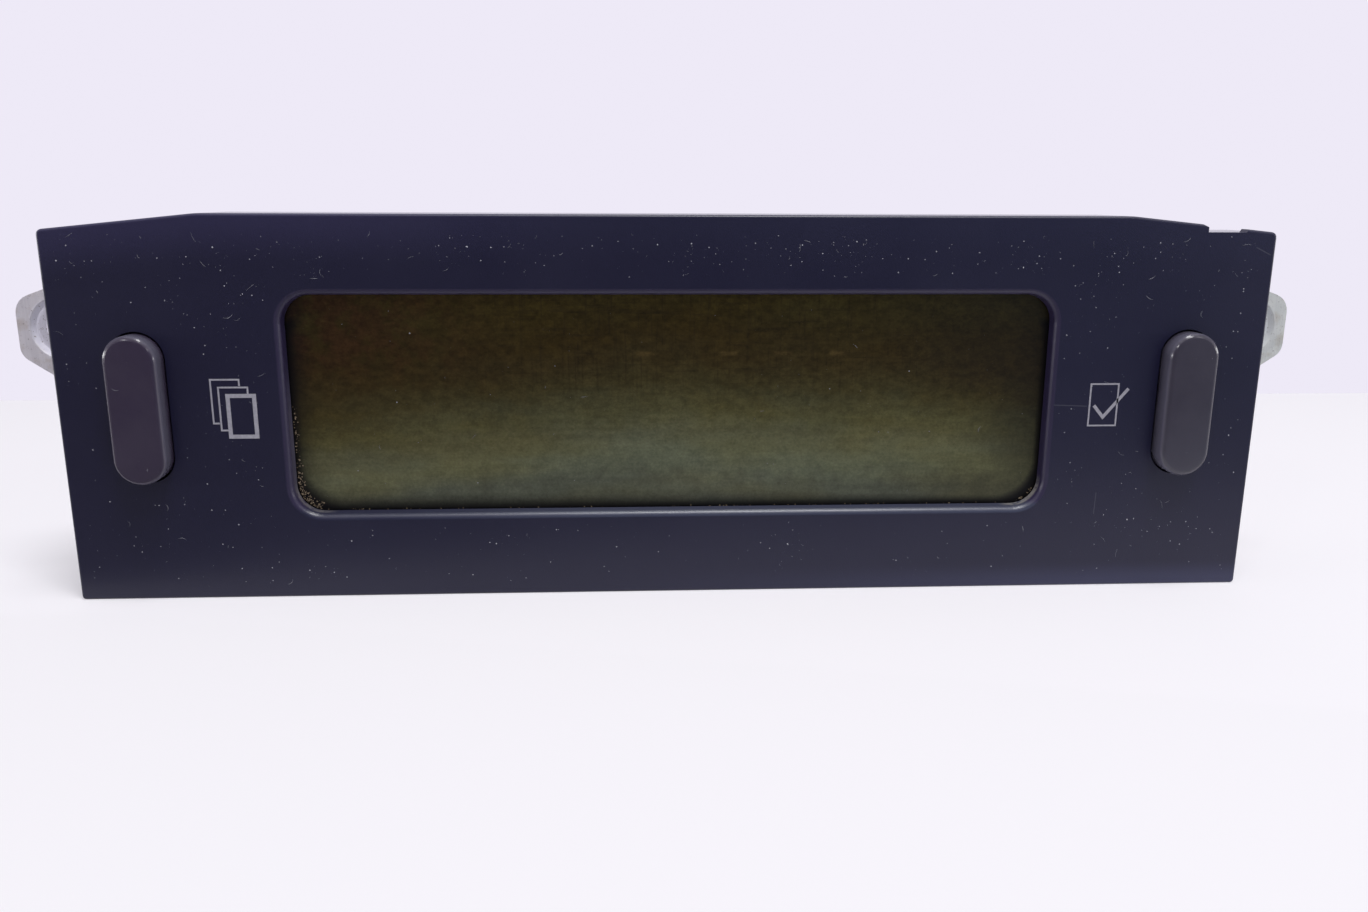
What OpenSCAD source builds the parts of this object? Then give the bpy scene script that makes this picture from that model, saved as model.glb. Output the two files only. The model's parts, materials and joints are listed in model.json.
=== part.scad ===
// Dashboard display unit: a moulded front panel with two keys, an LCD module and its
// circuit board behind it, a rear housing, and two steel brackets that screw to the dash.
// +X is right, +Y goes into the dashboard and +Z is up. The unit stands on Z = 0, and the
// origin is the middle of its base.

/* [Front panel] */
// Width of the front panel
panel_w = 188; // [182:1:200]
// Height of the front panel between its two shoulders
panel_h = 60; // [58:0.5:66]
// Thickness of the front face
panel_t = 2.2; // [1.8:0.1:2.6]
// Thickness of the skirt that runs back from the face
skirt_wall = 2; // [1.6:0.1:2.4]
// How far in from each end the top edge begins to fall
shoulder_run = 23; // [18:1:28]
// How far the top edge falls at each end
shoulder_drop = 2.4; // [1.6:0.1:2.6]
// Radius of the face's top corners
corner_r = 0.9; // [0.6:0.1:2]
// Rounding where the face meets the skirt
face_edge_r = 0.4; // [0.2:0.1:0.6]
// Width of the notch in the top edge
notch_w = 6.4; // [4:0.1:7]
// Distance from the panel's right end to the notch
notch_in = 4.7; // [4:0.1:8]
// Depth of the notch below the panel's shoulders
notch_sink = 2.4; // [2.2:0.1:3.2]

/* [Window] */
// Distance from the panel's ends to the window
window_side_in = 34.2; // [33.4:0.2:38]
// Distance from the panel's shoulders down to the window
window_top_in = 12; // [10:0.1:13]
// Height of the window's lower edge above the base
window_low = 13.6; // [12.4:0.1:15]
// Radius of the window's corners
window_r = 4.4; // [3:0.2:8]
// Rounding of the window's front edge
window_edge_r = 1; // [0.5:0.1:1.2]
// How far the window's walls close in towards the LCD
window_draft = 0.1; // [0.05:0.05:0.2]

/* [Keys] */
// Width of a key
key_w = 7.9; // [7.5:0.1:9]
// Height of a key
key_h = 22.9; // [20:0.1:26]
// Distance from the panel's end to the middle of a key
key_in = 12.5; // [11.5:0.5:13.5]
// How far a key stands proud of the face
key_proud = 3.2; // [2.4:0.1:4]
// Rounding of a key's front edge
key_edge_r = 0.9; // [0.6:0.1:1.4]
// Crown of a key's front face
key_crown = 0.15; // [0.05:0.05:0.3]
// Gap between a key and the face
key_gap = 0.3; // [0.2:0.05:0.5]
// Wall of a key's hollow cap
key_wall = 1.2; // [1:0.1:1.5]
// Travel of a key
key_travel = 0.8; // [0.5:0.1:1]
// Wall of the guide round a key
guide_wall = 1.2; // [1:0.1:1.5]
// Depth from the face to the back of a key's guide
guide_depth = 5.6; // [4.8:0.1:5.8]
// How far the lip that stops a key reaches over its guide
key_lip = 1; // [0.8:0.1:1.2]
// Thickness of that lip
key_lip_t = 1.2; // [0.8:0.1:1.4]

/* [LCD module] */
// Thickness of the foam gasket round the window, as pressed
gasket_t = 0.3; // [0.2:0.1:0.5]
// How far the gasket reaches past the window's walls
gasket_out = 1.2; // [1:0.1:1.4]
// How far the gasket keeps back from the window's walls
gasket_back = 0.1; // [0:0.1:0.4]
// Thickness of each polarising film
film_t = 0.2; // [0.15:0.05:0.3]
// Thickness of each of the LCD's two glasses
glass_t = 1.1; // [0.7:0.1:1.1]
// Thickness of the diffuser sheet
diffuser_t = 0.5; // [0.2:0.1:0.6]
// Thickness of the light guide
light_guide_t = 3.8; // [3.6:0.1:5]
// Thickness of the reflector tray's floor and walls
tray_wall = 1.2; // [1:0.1:1.4]
// How far the glass reaches past the window at each side
glass_side = 2.4; // [2.2:0.1:2.6]
// How far the glass reaches past the window above and below, with its contact ledge
glass_over = 4; // [3.8:0.1:4.3]
// Height of the contact ledge that the connector strips press on
ledge_h = 2; // [1.8:0.1:2.1]
// How far the connector strips stop short of the glass's ends
strip_in = 9.8; // [8:0.2:15]
// Clearance between the LCD's parts and their tray
tray_gap = 0.15; // [0.1:0.05:0.2]

/* [Circuit board] */
// Thickness of the circuit board
board_t = 1.6; // [1.2:0.1:2]
// Clearance between the board and the skirt
board_gap = 0.5; // [0.4:0.1:0.8]
// Side of a key switch
switch_w = 6; // [5:0.2:7]
// Radius of a key switch's plunger
plunger_r = 1.6; // [1.3:0.1:1.8]
// Height of the smoothing capacitors
capacitor_h = 11; // [9:0.5:13]
// Diameter of the smoothing capacitors
capacitor_d = 8; // [7:0.5:9]
// Side of the microcontroller's package
micro_w = 14; // [12:0.5:15]

/* [Rear housing] */
// Thickness of the housing's flange
flange_t = 1.6; // [1.4:0.1:2.4]
// Clearance between the flange and the skirt
fit_gap = 0.3; // [0.2:0.05:0.4]
// Depth of the housing behind its flange
body_depth = 19; // [17.5:0.5:24]
// Wall of the housing
body_wall = 1.8; // [1.5:0.1:2.2]
// Distance from the panel's end to the side of the housing
body_side_in = 10; // [9.8:0.1:10.5]
// Height of the housing's underside above the base
body_low = 4; // [3.5:0.1:4.5]
// Distance from the panel's shoulders down to the top of the housing
body_top_in = 6.2; // [6:0.1:6.8]
// Rounding of the housing's long corners
body_corner_r = 2.5; // [2:0.25:3]
// Rounding of the housing's back edges
body_edge_r = 1.5; // [0.75:0.25:1.75]
// Width of a cooling slot
vent_w = 1.8; // [1.4:0.1:2.2]
// Distance from one cooling slot to the next
vent_pitch = 4.2; // [3.8:0.1:4.8]
// Length of the cooling slots in the back
vent_h = 22; // [14:1:24]
// Length of the cooling slots in the top
vent_run = 10; // [7:0.5:11]
// Width of the runners under the housing
runner_w = 2.4; // [2:0.2:4]

/* [Connector] */
// Number of contacts in each of the two rows
contacts = 9; // [7:1:10]
// Distance from one contact to the next
contact_pitch = 2.54; // [2.5:0.02:2.6]
// Side of a square contact
contact_w = 0.64; // [0.5:0.02:0.8]
// Depth of the socket that the plug enters
socket_depth = 11.5; // [10:0.5:13]
// How far the socket stands out of the housing
socket_proud = 2.4; // [1:0.2:4]
// Wall of the socket
socket_wall = 1.2; // [1:0.1:1.5]
// Clearance of the socket in the housing
socket_gap = 0.3; // [0.2:0.05:0.5]

/* [Brackets] */
// Thickness of the brackets' steel
steel_t = 1.4; // [1:0.1:2]
// Inner radius of the brackets' bend
bend_r = 1; // [0.5:0.1:1.5]
// How far the ears reach past the panel's ends
ear_reach = 11.6; // [11:0.2:14]
// Distance from the panel's ends to the middle of the ears' holes
ear_hole_out = 4.5; // [4:0.1:5]
// Distance from the panel's shoulders down to the ears' holes
ear_top_in = 18.5; // [17.5:0.5:20]
// Radius of the ears' holes
ear_hole_r = 2.75; // [2.2:0.05:3.2]
// Radius of the pressed seat round each hole
seat_r = 5.2; // [4.6:0.1:5.5]
// Width of the slope round the seat
seat_run = 0.9; // [0.4:0.1:1.2]
// Depth of the pressed seat
seat_sink = 0.4; // [0.2:0.1:0.6]
// Length of the bracket along the housing's side
bracket_run = 16.5; // [15:0.5:17]

/* [Screws] */
// Radius of the screws' shanks
shank_r = 1.4; // [1.2:0.1:1.5]
// Radius of the screws' heads
head_r = 2.5; // [2.2:0.1:2.6]
// Height of the screws' heads
head_h = 1.7; // [1.3:0.1:2.2]
// Radius of the moulded bosses
boss_r = 3; // [2.7:0.1:3.2]
// Length of a screw's grip in its boss
grip = 5; // [4:0.5:6]

/* [Hidden] */
$fn = 48;

panel_colour = [0.15, 0.14, 0.22];
key_colour = [0.27, 0.25, 0.32];
glass_colour = [0.31, 0.31, 0.18];
film_colour = [0.2, 0.2, 0.12];
clear_colour = [0.85, 0.9, 0.9];
white_colour = [0.92, 0.92, 0.9];
rubber_colour = [0.09, 0.09, 0.09];
board_colour = [0.07, 0.32, 0.17];
chip_colour = [0.1, 0.1, 0.11];
housing_colour = [0.13, 0.13, 0.14];
steel_colour = [0.68, 0.67, 0.66];
contact_colour = [0.8, 0.72, 0.45];
screw_colour = [0.75, 0.73, 0.66];

// How far one solid runs into another of its own moulding, and how far a cut runs clear
bite = 0.4;
clear = 1;
// Room round a shank that turns freely, and round one that is driven into its hole
shank_gap = 0.3;
thread_gap = 0.02;

// Places along Y, counted back from the panel's face: each layer lies on the one before
film_y = panel_t + gasket_t;
glass_y = film_y + film_t;
ledge_y = glass_y + glass_t;
rear_film_y = ledge_y + glass_t;
diffuser_y = rear_film_y + film_t;
guide_y = diffuser_y + diffuser_t;
tray_floor_y = guide_y + light_guide_t;
board_y = tray_floor_y + tray_wall;
board_back_y = board_y + board_t;
skirt_depth = board_back_y + flange_t;
body_back_y = skirt_depth + body_depth;
socket_rim_y = body_back_y + socket_proud;
socket_floor_y = socket_rim_y - socket_depth;
mid_y = (socket_rim_y - key_proud) / 2;

// The window's size, and the height of the line that it, the keys and the symbols share
window_w = panel_w - 2 * window_side_in;
window_h = panel_h - window_top_in - window_low;
centre_z = window_low + window_h / 2;

// Half sizes in X and Z of what the window looks on
middle = [0, centre_z];
window_half = [window_w, window_h] / 2;
glass_half = window_half + [glass_side, glass_over];
rear_glass_half = glass_half - [0, ledge_h];
front_film_half = rear_glass_half - [0.5, 0.2];
tray_half = glass_half + [1, 1] * (tray_gap + tray_wall);
tray_r = 1.5;
bay_half = rear_glass_half - [tray_wall, tray_wall];
sheet_half = bay_half - [tray_gap, tray_gap];
backlight_room = 1.8;
light_guide_half = sheet_half - [backlight_room, 0];
strip_z = (rear_glass_half[1] + glass_half[1]) / 2;
strip_half = [glass_half[0] - strip_in, ledge_h / 2 - 0.3];

// The keys, their lips, stems and switches
key_x = panel_w / 2 - key_in;
key_at = [key_x, centre_z];
lip_y = guide_depth + 0.05;
stem_r = 1.9;
web_t = 1;
plunger_grip = 0.6;
plunger_stroke = key_travel + 0.3;
switch_floor = 0.5;
switch_h = plunger_grip + plunger_stroke + switch_floor;
switch_y = board_y - switch_h;
plunger_y = switch_y - plunger_stroke;

// The light pipes behind the two symbols beside the window
symbol_out = 8.4;
symbol_at = [window_half[0] + symbol_out, centre_z];
pipe_w = 4.4;
pipe_h = 9;
pipe_skin = 0.9;
sleeve_wall = 0.8;
led_t = 0.8;
led_w = 2.8;

// The notch, and the room that is left inside the skirt
notch_x = panel_w / 2 - notch_in - notch_w;
notch_z = panel_h - notch_sink;
notch_lead = 0.9;
cavity_top = notch_z - skirt_wall;

// Screws: four at the housing's corners, and four that hold the board
corner_screw_in = 6.6;
corner_screw_low = 7.2;
corner_screw_x = panel_w / 2 - corner_screw_in;
corner_screw_z = [corner_screw_low, cavity_top - boss_r - bite];
guide_edge_x = key_x - key_w / 2 - key_gap - guide_wall;
board_screw_x = (tray_half[0] + guide_edge_x) / 2;
board_screw_in = 12;
board_screw_z = [board_screw_in, panel_h - board_screw_in];

// The circuit board's outline, its corner cut-outs for the bosses there, and a place on it as
// shares of its half sizes
board_low = skirt_wall + board_gap;
board_half = [panel_w / 2 - skirt_wall - board_gap, (cavity_top - board_gap - board_low) / 2];
board_mid = [0, board_low + board_half[1]];
boss_room = boss_r + board_gap;
function on_board(u, v) = board_mid + [u * board_half[0], v * board_half[1]];

// The rear housing's walls
body_half = [panel_w / 2 - body_side_in, (panel_h - body_top_in - body_low) / 2];
body_mid = [0, body_low + body_half[1]];
body_room = body_half - [body_wall, body_wall];
runner_x = 0.7 * body_half[0];

// The connector, and its contacts
socket_at = on_board(0.46, 0);
contact_margin = 2.4;
socket_half = [(contacts - 1) * contact_pitch / 2, contact_pitch / 2]
    + [1, 1] * (contact_margin + socket_wall);
contact_reach = socket_depth - 4.8;
contacts_at = [for (i = [0 : contacts - 1]) for (row = [-1, 1])
    socket_at + [(i - (contacts - 1) / 2) * contact_pitch, row * contact_pitch / 2]];

// The brackets: an ear across the back of the skirt, and a leg along the housing's side
ear_at = [panel_w / 2 + ear_hole_out, panel_h - ear_top_in];
ear_tip_x = panel_w / 2 + ear_reach;
ear_drop = 13;
ear_rise = 7.1;
ear_slope_in = 5.6;
ear_flat = 4.5;
leg_x = body_half[0];
bracket_low = ear_at[1] - ear_drop;
bracket_high = ear_at[1] + ear_rise;
side_screw_y = [for (share = [0.37, 0.8]) skirt_depth + share * bracket_run];
side_screw_drop = 3;
side_screw_z = ear_at[1] - side_screw_drop;

function unit(v) = v / norm(v);
function normal(d) = [d[1], -d[0]];

// At the corner b of an anticlockwise outline that runs from a to c: the direction out, as
// long as the corner moves when both of its sides move out by 1
function mitre(a, b, c) =
    let (n = normal(unit(b - a)), m = normal(unit(c - b))) (n + m) / (1 + n * m);
function before(points, i) = points[i == 0 ? len(points) - 1 : i - 1];
function after(points, i) = points[i == len(points) - 1 ? 0 : i + 1];
function moved_in(points, by) = [for (i = [0 : len(points) - 1])
    points[i] - by * mitre(before(points, i), points[i], after(points, i))];

// The outline with its corners rounded, as pairs: a point, and its outward normal
corner_steps = 5;
function rounded(points, radii) = [for (i = [0 : len(points) - 1])
    let (a = before(points, i), b = points[i], c = after(points, i), n = normal(b - a),
        turn = atan2(cross(b - a, c - b), (b - a) * (c - b)), start = atan2(n[1], n[0]))
    for (j = [0 : corner_steps]) let (t = start + turn * j / corner_steps, out = [cos(t), sin(t)])
        [b - radii[i] * (mitre(a, b, c) - out), out]];

// The front panel's outline: a straight base and ends, and a top that falls at both ends
panel_points = [[-panel_w / 2, 0], [panel_w / 2, 0], [panel_w / 2, panel_h - shoulder_drop],
    [panel_w / 2 - shoulder_run, panel_h], [shoulder_run - panel_w / 2, panel_h],
    [-panel_w / 2, panel_h - shoulder_drop]];
base_corner_r = 0.6;
shoulder_r = 9;
panel_radii = [base_corner_r, base_corner_r, corner_r, shoulder_r, shoulder_r, corner_r];
function top_at(x) = panel_h - shoulder_drop * (x - panel_w / 2 + shoulder_run) / shoulder_run;

// A key's front: half of a section through it, from the axis out and back to its foot. The
// cut for its hollow is the same section, moved in by the wall
function crown_y(x) = key_crown * pow(x / (key_w / 2), 2) - key_proud;
function key_section(inset, foot) =
    let (half = key_w / 2 - inset, r = key_edge_r - min(inset, key_edge_r - 0.1), flat = half - r)
    concat([for (i = [0 : 6]) [flat * i / 6, crown_y(flat * i / 6) + inset]],
        [for (t = [15 : 15 : 90]) [flat + r * sin(t), crown_y(flat) + inset + r * (1 - cos(t))]],
        [[half, foot], [0, foot]]);

module place() translate([0, -mid_y, 0]) children();
// Children as they are at the right, and mirrored at the left
module at_left() mirror([1, 0, 0]) children();
module both_sides() {
    children();
    at_left() children();
}

// A flat shape in X and Z, carried along Y
module slab(from, to) translate([0, to, 0]) rotate([90, 0, 0]) linear_extrude(to - from) children();
module at(p) translate([p[0], 0, p[1]]) children();
module block(half, from, to)
    translate([-half[0], from, -half[1]]) cube([2 * half[0], to - from, 2 * half[1]]);
module rod(r, from, to) translate([0, from, 0]) rotate([-90, 0, 0]) cylinder(h = to - from, r = r);
module cone(r_from, r_to, from, to)
    translate([0, from, 0]) rotate([-90, 0, 0]) cylinder(h = to - from, r1 = r_from, r2 = r_to);
module round_rectangle(half, r) {
    square([2 * half[0], 2 * (half[1] - r)], center = true);
    square([2 * (half[0] - r), 2 * half[1]], center = true);
    for (x = [-1, 1], z = [-1, 1]) translate([x * (half[0] - r), z * (half[1] - r)]) circle(r);
}
module oval(w, h) {
    square([w, h - w], center = true);
    for (end = [-1, 1]) translate([0, end * (h - w) / 2]) circle(w / 2);
}

// A section, drawn as [distance out, distance back], carried round a rounded rectangle
module carry_round(half, r) {
    for (turn = [0, 180]) rotate([0, turn, 0])
        translate([half[0], 0, 0]) linear_extrude(2 * (half[1] - r), center = true) children();
    for (turn = [0, 180]) rotate([0, turn, 0])
        translate([0, 0, half[1]]) rotate([0, -90, 0])
            linear_extrude(2 * (half[0] - r), center = true) children();
    for (x = [0, 1], z = [0, 1]) mirror([x, 0, 0]) mirror([0, 0, z])
        translate([half[0] - r, 0, r - half[1]]) rotate([-90, 0, 0]) rotate_extrude(angle = 90)
            translate([r, 0]) children();
}

// A section, from its axis out, revolved at the two ends of an upright oval and run between
module oval_turning(w, h, section) {
    for (end = [-1, 1]) translate([0, 0, end * (h - w) / 2])
        rotate([-90, 0, 0]) rotate_extrude() polygon(section);
    for (side = [0, 1]) mirror([side, 0, 0]) linear_extrude(h - w, center = true) polygon(section);
}

// A skin through copies of one outline, each at its own place along Y and moved in by its
// own distance: stations are [place, distance in]
module loft(path, stations) {
    n = len(path);
    m = len(stations);
    points = [for (s = stations) for (q = path) let (p = q[0] - s[1] * q[1]) [p[0], s[0], p[1]]];
    skin = [for (j = [0 : m - 2]) for (i = [0 : n - 1])
        let (a = j * n + i, b = j * n + (i + 1) % n) each [[a, b, b + n], [a, b + n, a + n]]];
    front = [[for (i = [n - 1 : -1 : 0]) i]];
    back = [[for (i = [0 : n - 1]) (m - 1) * n + i]];
    polyhedron(points, concat(front, skin, back), convexity = 4);
}

// The front panel

// The room inside the skirt, less a gap all round. It steps down below the notch
module skirt_room(gap) difference() {
    polygon(moved_in(panel_points, skirt_wall + gap));
    translate([notch_x - skirt_wall - gap, cavity_top - gap]) square([panel_w, panel_h]);
}
module panel_shell() difference() {
    loft(rounded(panel_points, panel_radii),
        concat([for (t = [0 : 22.5 : 90]) [face_edge_r * (1 - cos(t)), face_edge_r * (1 - sin(t))]],
            [[skirt_depth, 0]]));
    slab(panel_t, skirt_depth + clear) skirt_room(0);
}

// The notch has a lead-in at its left, and a short slope up to the tab at its right. The tab
// is only as deep as the plate: behind it the notch runs on to the panel's end
module notch() {
    slope = 0.3;
    tab_x = notch_x + notch_w;
    lead_z = top_at(notch_x - notch_lead);
    slab(-clear, skirt_depth + clear) polygon([[notch_x, notch_z], [tab_x - slope, notch_z],
        [tab_x, top_at(tab_x)], [tab_x, panel_h + clear], [notch_x - notch_lead, panel_h + clear],
        [notch_x - notch_lead, lead_z], [notch_x, lead_z - notch_lead / 2]]);
    slab(panel_t, skirt_depth + clear) translate([notch_x, notch_z]) square([panel_w, panel_h]);
}

// The window: a rounded rectangle whose walls close in by their draft, with a round lip
module window_cut() at(middle) {
    back = panel_t + clear;
    r = window_edge_r;
    closing = window_draft / (panel_t - r);
    carry_round(window_half, window_r) polygon(concat([[-clear, -clear], [r, -clear]],
        [for (t = [0 : 10 : 90]) [r * (1 - sin(t)), r * (1 - cos(t))]],
        [[-closing * (back - r), back], [-clear, back]]));
    slab(-clear, back) round_rectangle(window_half - [0.5, 0.5], window_r - 0.5);
}
module front_bezel() color(panel_colour) place() difference() {
    union() {
        panel_shell();
        both_sides() {
            at(key_at) slab(panel_t - bite, guide_depth)
                oval(key_w + 2 * (key_gap + guide_wall), key_h + 2 * (key_gap + guide_wall));
            at(symbol_at) slab(panel_t - bite, guide_depth)
                oval(pipe_w + 2 * (tray_gap + sleeve_wall), pipe_h + 2 * (tray_gap + sleeve_wall));
            for (z = board_screw_z) at([board_screw_x, z]) {
                rod(boss_r, panel_t - bite, board_y);
                boss_webs(board_y - clear);
            }
            for (z = corner_screw_z) at([corner_screw_x, z]) {
                rod(boss_r, panel_t - bite, board_back_y);
                corner_web();
            }
        }
        tray_ribs();
    }
    window_cut();
    notch();
    both_sides() {
        at(key_at) slab(-clear, guide_depth + clear) oval(key_w + 2 * key_gap, key_h + 2 * key_gap);
        at(symbol_at) slab(pipe_skin, guide_depth + clear)
            oval(pipe_w + 2 * tray_gap, pipe_h + 2 * tray_gap);
        for (z = board_screw_z) at([board_screw_x, z])
            rod(shank_r + thread_gap, board_y - grip, board_y + clear);
        for (z = corner_screw_z) at([corner_screw_x, z])
            rod(shank_r + thread_gap, board_back_y - grip, board_back_y + clear);
    }
}

// Tapering webs that steady a board boss, and one that ties a corner boss to the skirt
module boss_webs(back) for (turn = [0 : 90 : 270]) rotate([0, turn, 0])
    linear_extrude(web_t, center = true)
        polygon([[0, panel_t - bite], [boss_r + 1.5, panel_t - bite], [boss_r, panel_t + 3], [0, back]]);
module corner_web() translate([0, panel_t - bite, -web_t / 2])
    cube([corner_screw_in - skirt_wall + bite, board_y - panel_t, web_t]);

// Ribs that keep the reflector tray in its place: they tie the plate to the skirt above and
// below it, and stand by themselves at its ends
rib_pitch = 19.5;
rib_depth = 8;
end_rib_depth = 4.5;
end_rib_h = 16;
module tray_ribs() {
    tray_top = centre_z + tray_half[1] + fit_gap;
    tray_low = centre_z - tray_half[1] - fit_gap;
    for (i = [-3 : 3]) translate([i * rib_pitch - web_t / 2, panel_t - bite, 0]) {
        translate([0, 0, skirt_wall - bite]) cube([web_t, rib_depth, tray_low - skirt_wall + bite]);
        translate([0, 0, tray_top]) cube([web_t, rib_depth, panel_h - skirt_wall + bite - tray_top]);
    }
    both_sides() translate([tray_half[0] + fit_gap, panel_t - bite, centre_z - end_rib_h / 2])
        cube([web_t, end_rib_depth, end_rib_h]);
}

// The keys: hollow caps that slide in their guides, stopped by a lip behind

module key_cap() difference() {
    union() {
        difference() {
            oval_turning(key_w, key_h, key_section(0, lip_y + key_lip_t));
            oval_turning(key_w - 2 * key_wall, key_h - 2 * key_wall,
                key_section(key_wall, lip_y + key_lip_t + clear));
        }
        slab(lip_y, lip_y + key_lip_t) difference() {
            oval(key_w + 2 * (key_gap + key_lip), key_h + 2 * (key_gap + key_lip));
            oval(key_w - 2 * key_wall, key_h - 2 * key_wall);
        }
        rod(stem_r, key_wall - key_proud, plunger_y);
        block([key_w / 2 - key_wall + bite / 2, web_t / 2], key_wall - key_proud, lip_y + key_lip_t);
        block([web_t / 2, key_h / 2 - key_wall + bite / 2], key_wall - key_proud, lip_y + key_lip_t);
    }
}
module right_key() color(key_colour) place() at(key_at) key_cap();
module left_key() color(key_colour) place() at_left() at(key_at) key_cap();

// The switches: a body with a bore for its plunger, and four legs soldered to the board
module switch_body() {
    leg = [1.2, 0.7];
    difference() {
        block([switch_w / 2, switch_w / 2], switch_y, board_y - 0.15);
        rod(plunger_r + 0.15, switch_y - clear, board_y - switch_floor);
    }
    for (x = [-1, 1], z = [-1, 1]) at([x * (switch_w / 2 + leg[0] / 2 - 0.2), z * switch_w / 3])
        block([leg[0] / 2, leg[1] / 2], board_y - 0.3, board_y);
}
module plunger() rod(plunger_r, plunger_y, switch_y + plunger_grip);
module right_key_switch() color(chip_colour) place() at(key_at) switch_body();
module left_key_switch() color(chip_colour) place() at_left() at(key_at) switch_body();
module right_switch_plunger() color(rubber_colour) place() at(key_at) plunger();
module left_switch_plunger() color(rubber_colour) place() at_left() at(key_at) plunger();

// The LCD module, from the window back

module window_gasket() color(rubber_colour) place() at(middle) slab(panel_t, film_y) difference() {
    inner = gasket_back - window_draft;
    round_rectangle(window_half + [1, 1] * gasket_out, window_r + gasket_out);
    round_rectangle(window_half + [1, 1] * inner, window_r + inner);
}
module front_polariser() color(film_colour) place() at(middle) block(front_film_half, film_y, glass_y);
module lcd_front_glass() color(glass_colour) place() at(middle) block(glass_half, glass_y, ledge_y);
module lcd_rear_glass() color(glass_colour) place() at(middle) block(rear_glass_half, ledge_y, rear_film_y);
module rear_polariser() color(film_colour) place() at(middle) block(sheet_half, rear_film_y, diffuser_y);
module diffuser_sheet() color(white_colour) place() at(middle) block(sheet_half, diffuser_y, guide_y);

// The light guide, with grooves across its back that scatter the light forwards
groove_pitch = 6;
groove_depth = 0.4;
module light_guide() color(clear_colour) place() at(middle) difference() {
    block(light_guide_half, guide_y, tray_floor_y);
    for (x = [0 : groove_pitch : light_guide_half[0] - groove_pitch / 2]) both_sides()
        translate([x, tray_floor_y, 0]) rotate([0, 0, 45])
            cube([groove_depth * sqrt(2), groove_depth * sqrt(2), 3 * light_guide_half[1]], center = true);
}

// The tray holds the glass, lights and light guide, and has slots for the contact strips
backlight_z = [-11, 0, 11];
backlight_at = bay_half[0] - 0.3 - led_t / 2;
module reflector_tray() color(white_colour) place() at(middle) difference() {
    slab(panel_t + 0.1, board_y) round_rectangle(tray_half, tray_r);
    block(glass_half + [1, 1] * tray_gap, -clear, ledge_y);
    block(rear_glass_half + [1, 1] * tray_gap, ledge_y - clear, rear_film_y);
    block(bay_half, rear_film_y - clear, tray_floor_y);
    for (side = [-1, 1]) at([0, side * strip_z])
        block(strip_half + [1, 1] * tray_gap, ledge_y - clear, board_y + clear);
    for (z = backlight_z) both_sides() at([backlight_at, z])
        block([led_t, led_w] / 2 + [1, 1] * tray_gap, tray_floor_y - clear, board_y + clear);
}
module contact_strip(side) place() at(middle + [0, side * strip_z]) block(strip_half, ledge_y, board_y);
module upper_contact_strip() color(rubber_colour) contact_strip(1);
module lower_contact_strip() color(rubber_colour) contact_strip(-1);
module backlight_leds() color(white_colour) place() at(middle) for (z = backlight_z) both_sides()
    at([backlight_at, z]) block([led_t, led_w] / 2, guide_y + 0.3, board_y);

// The light pipes carry light from the board's lamps to the symbols beside the window
module light_pipe() at(symbol_at) {
    slab(pipe_skin, guide_depth) oval(pipe_w, pipe_h);
    slab(guide_depth - bite, board_y - led_t) oval(pipe_w - 1, pipe_h - 2.4);
}
module right_light_pipe() color(clear_colour) place() light_pipe();
module left_light_pipe() color(clear_colour) place() at_left() light_pipe();
module symbol_leds() color(white_colour) place() both_sides()
    at(symbol_at) block([led_w / 2, led_w / 2], board_y - led_t, board_y);

// The circuit board and what is soldered to its back

module circuit_board() color(board_colour) place() difference() {
    at(board_mid) block(board_half, board_y, board_back_y);
    both_sides() {
        for (z = corner_screw_z) slab(board_y - clear, board_back_y + clear) {
            out = z < centre_z ? -1 : 1;
            translate([corner_screw_x, z]) circle(boss_room);
            translate([corner_screw_x - boss_room, z + (out < 0 ? -panel_h : 0)]) square([panel_w, panel_h]);
            translate([corner_screw_x, z + (out < 0 ? -panel_h : -boss_room)])
                square([panel_w, panel_h + boss_room]);
        }
        for (z = board_screw_z) at([board_screw_x, z])
            rod(shank_r + shank_gap, board_y - clear, board_back_y + clear);
    }
    for (p = contacts_at) at(p) rod(contact_w * 0.8, board_y - clear, board_back_y + clear);
}

// A chip: its package, and a row of leads along each of two or four sides
chip_lead_w = 0.5;
chip_lead_pitch = 1.27;
chip_foot = 1.3;
module chip(w, h, t, leads, sides) {
    block([w, h] / 2, board_back_y + 0.15, board_back_y + t);
    for (turn = [0 : 360 / sides : 359]) rotate([0, turn, 0]) for (i = [0 : leads - 1]) {
        reach = (turn % 180 == 0 ? w : h) / 2 - bite;
        row = (i - (leads - 1) / 2) * chip_lead_pitch;
        translate([reach, board_back_y, row - chip_lead_w / 2]) cube([chip_foot + bite, 0.5, chip_lead_w]);
    }
}
driver_w = 12;
driver_h = 18;
memory_w = 4;
memory_h = 5;
chip_t = 1.8;
module microcontroller() color(chip_colour) place() at(on_board(-0.09, 0.05))
    chip(micro_w, micro_w, chip_t, 9, 4);
module display_driver() color(chip_colour) place() at(on_board(-0.46, 0.13))
    chip(driver_w, driver_h, chip_t, 12, 2);
module memory_chip() color(chip_colour) place() at(on_board(-0.46, -0.56))
    chip(memory_w, memory_h, 1.5, 4, 2);

// The regulator: its package, a metal tab above it and two legs below
regulator_w = 10;
regulator_h = 9;
regulator_t = 4.4;
tab_reach = 3.5;
leg_reach = 2.5;
module voltage_regulator() color(chip_colour) place() at(on_board(0.69, -0.25)) {
    block([regulator_w, regulator_h] / 2, board_back_y, board_back_y + regulator_t);
    block([0.42 * regulator_w, regulator_h / 2 + tab_reach], board_back_y, board_back_y + chip_lead_w);
    for (x = [-1, 1] * regulator_w / 4) translate([x, 0, -leg_reach])
        block([chip_lead_w, regulator_h / 2], board_back_y, board_back_y + 2 * chip_lead_w);
}

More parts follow.
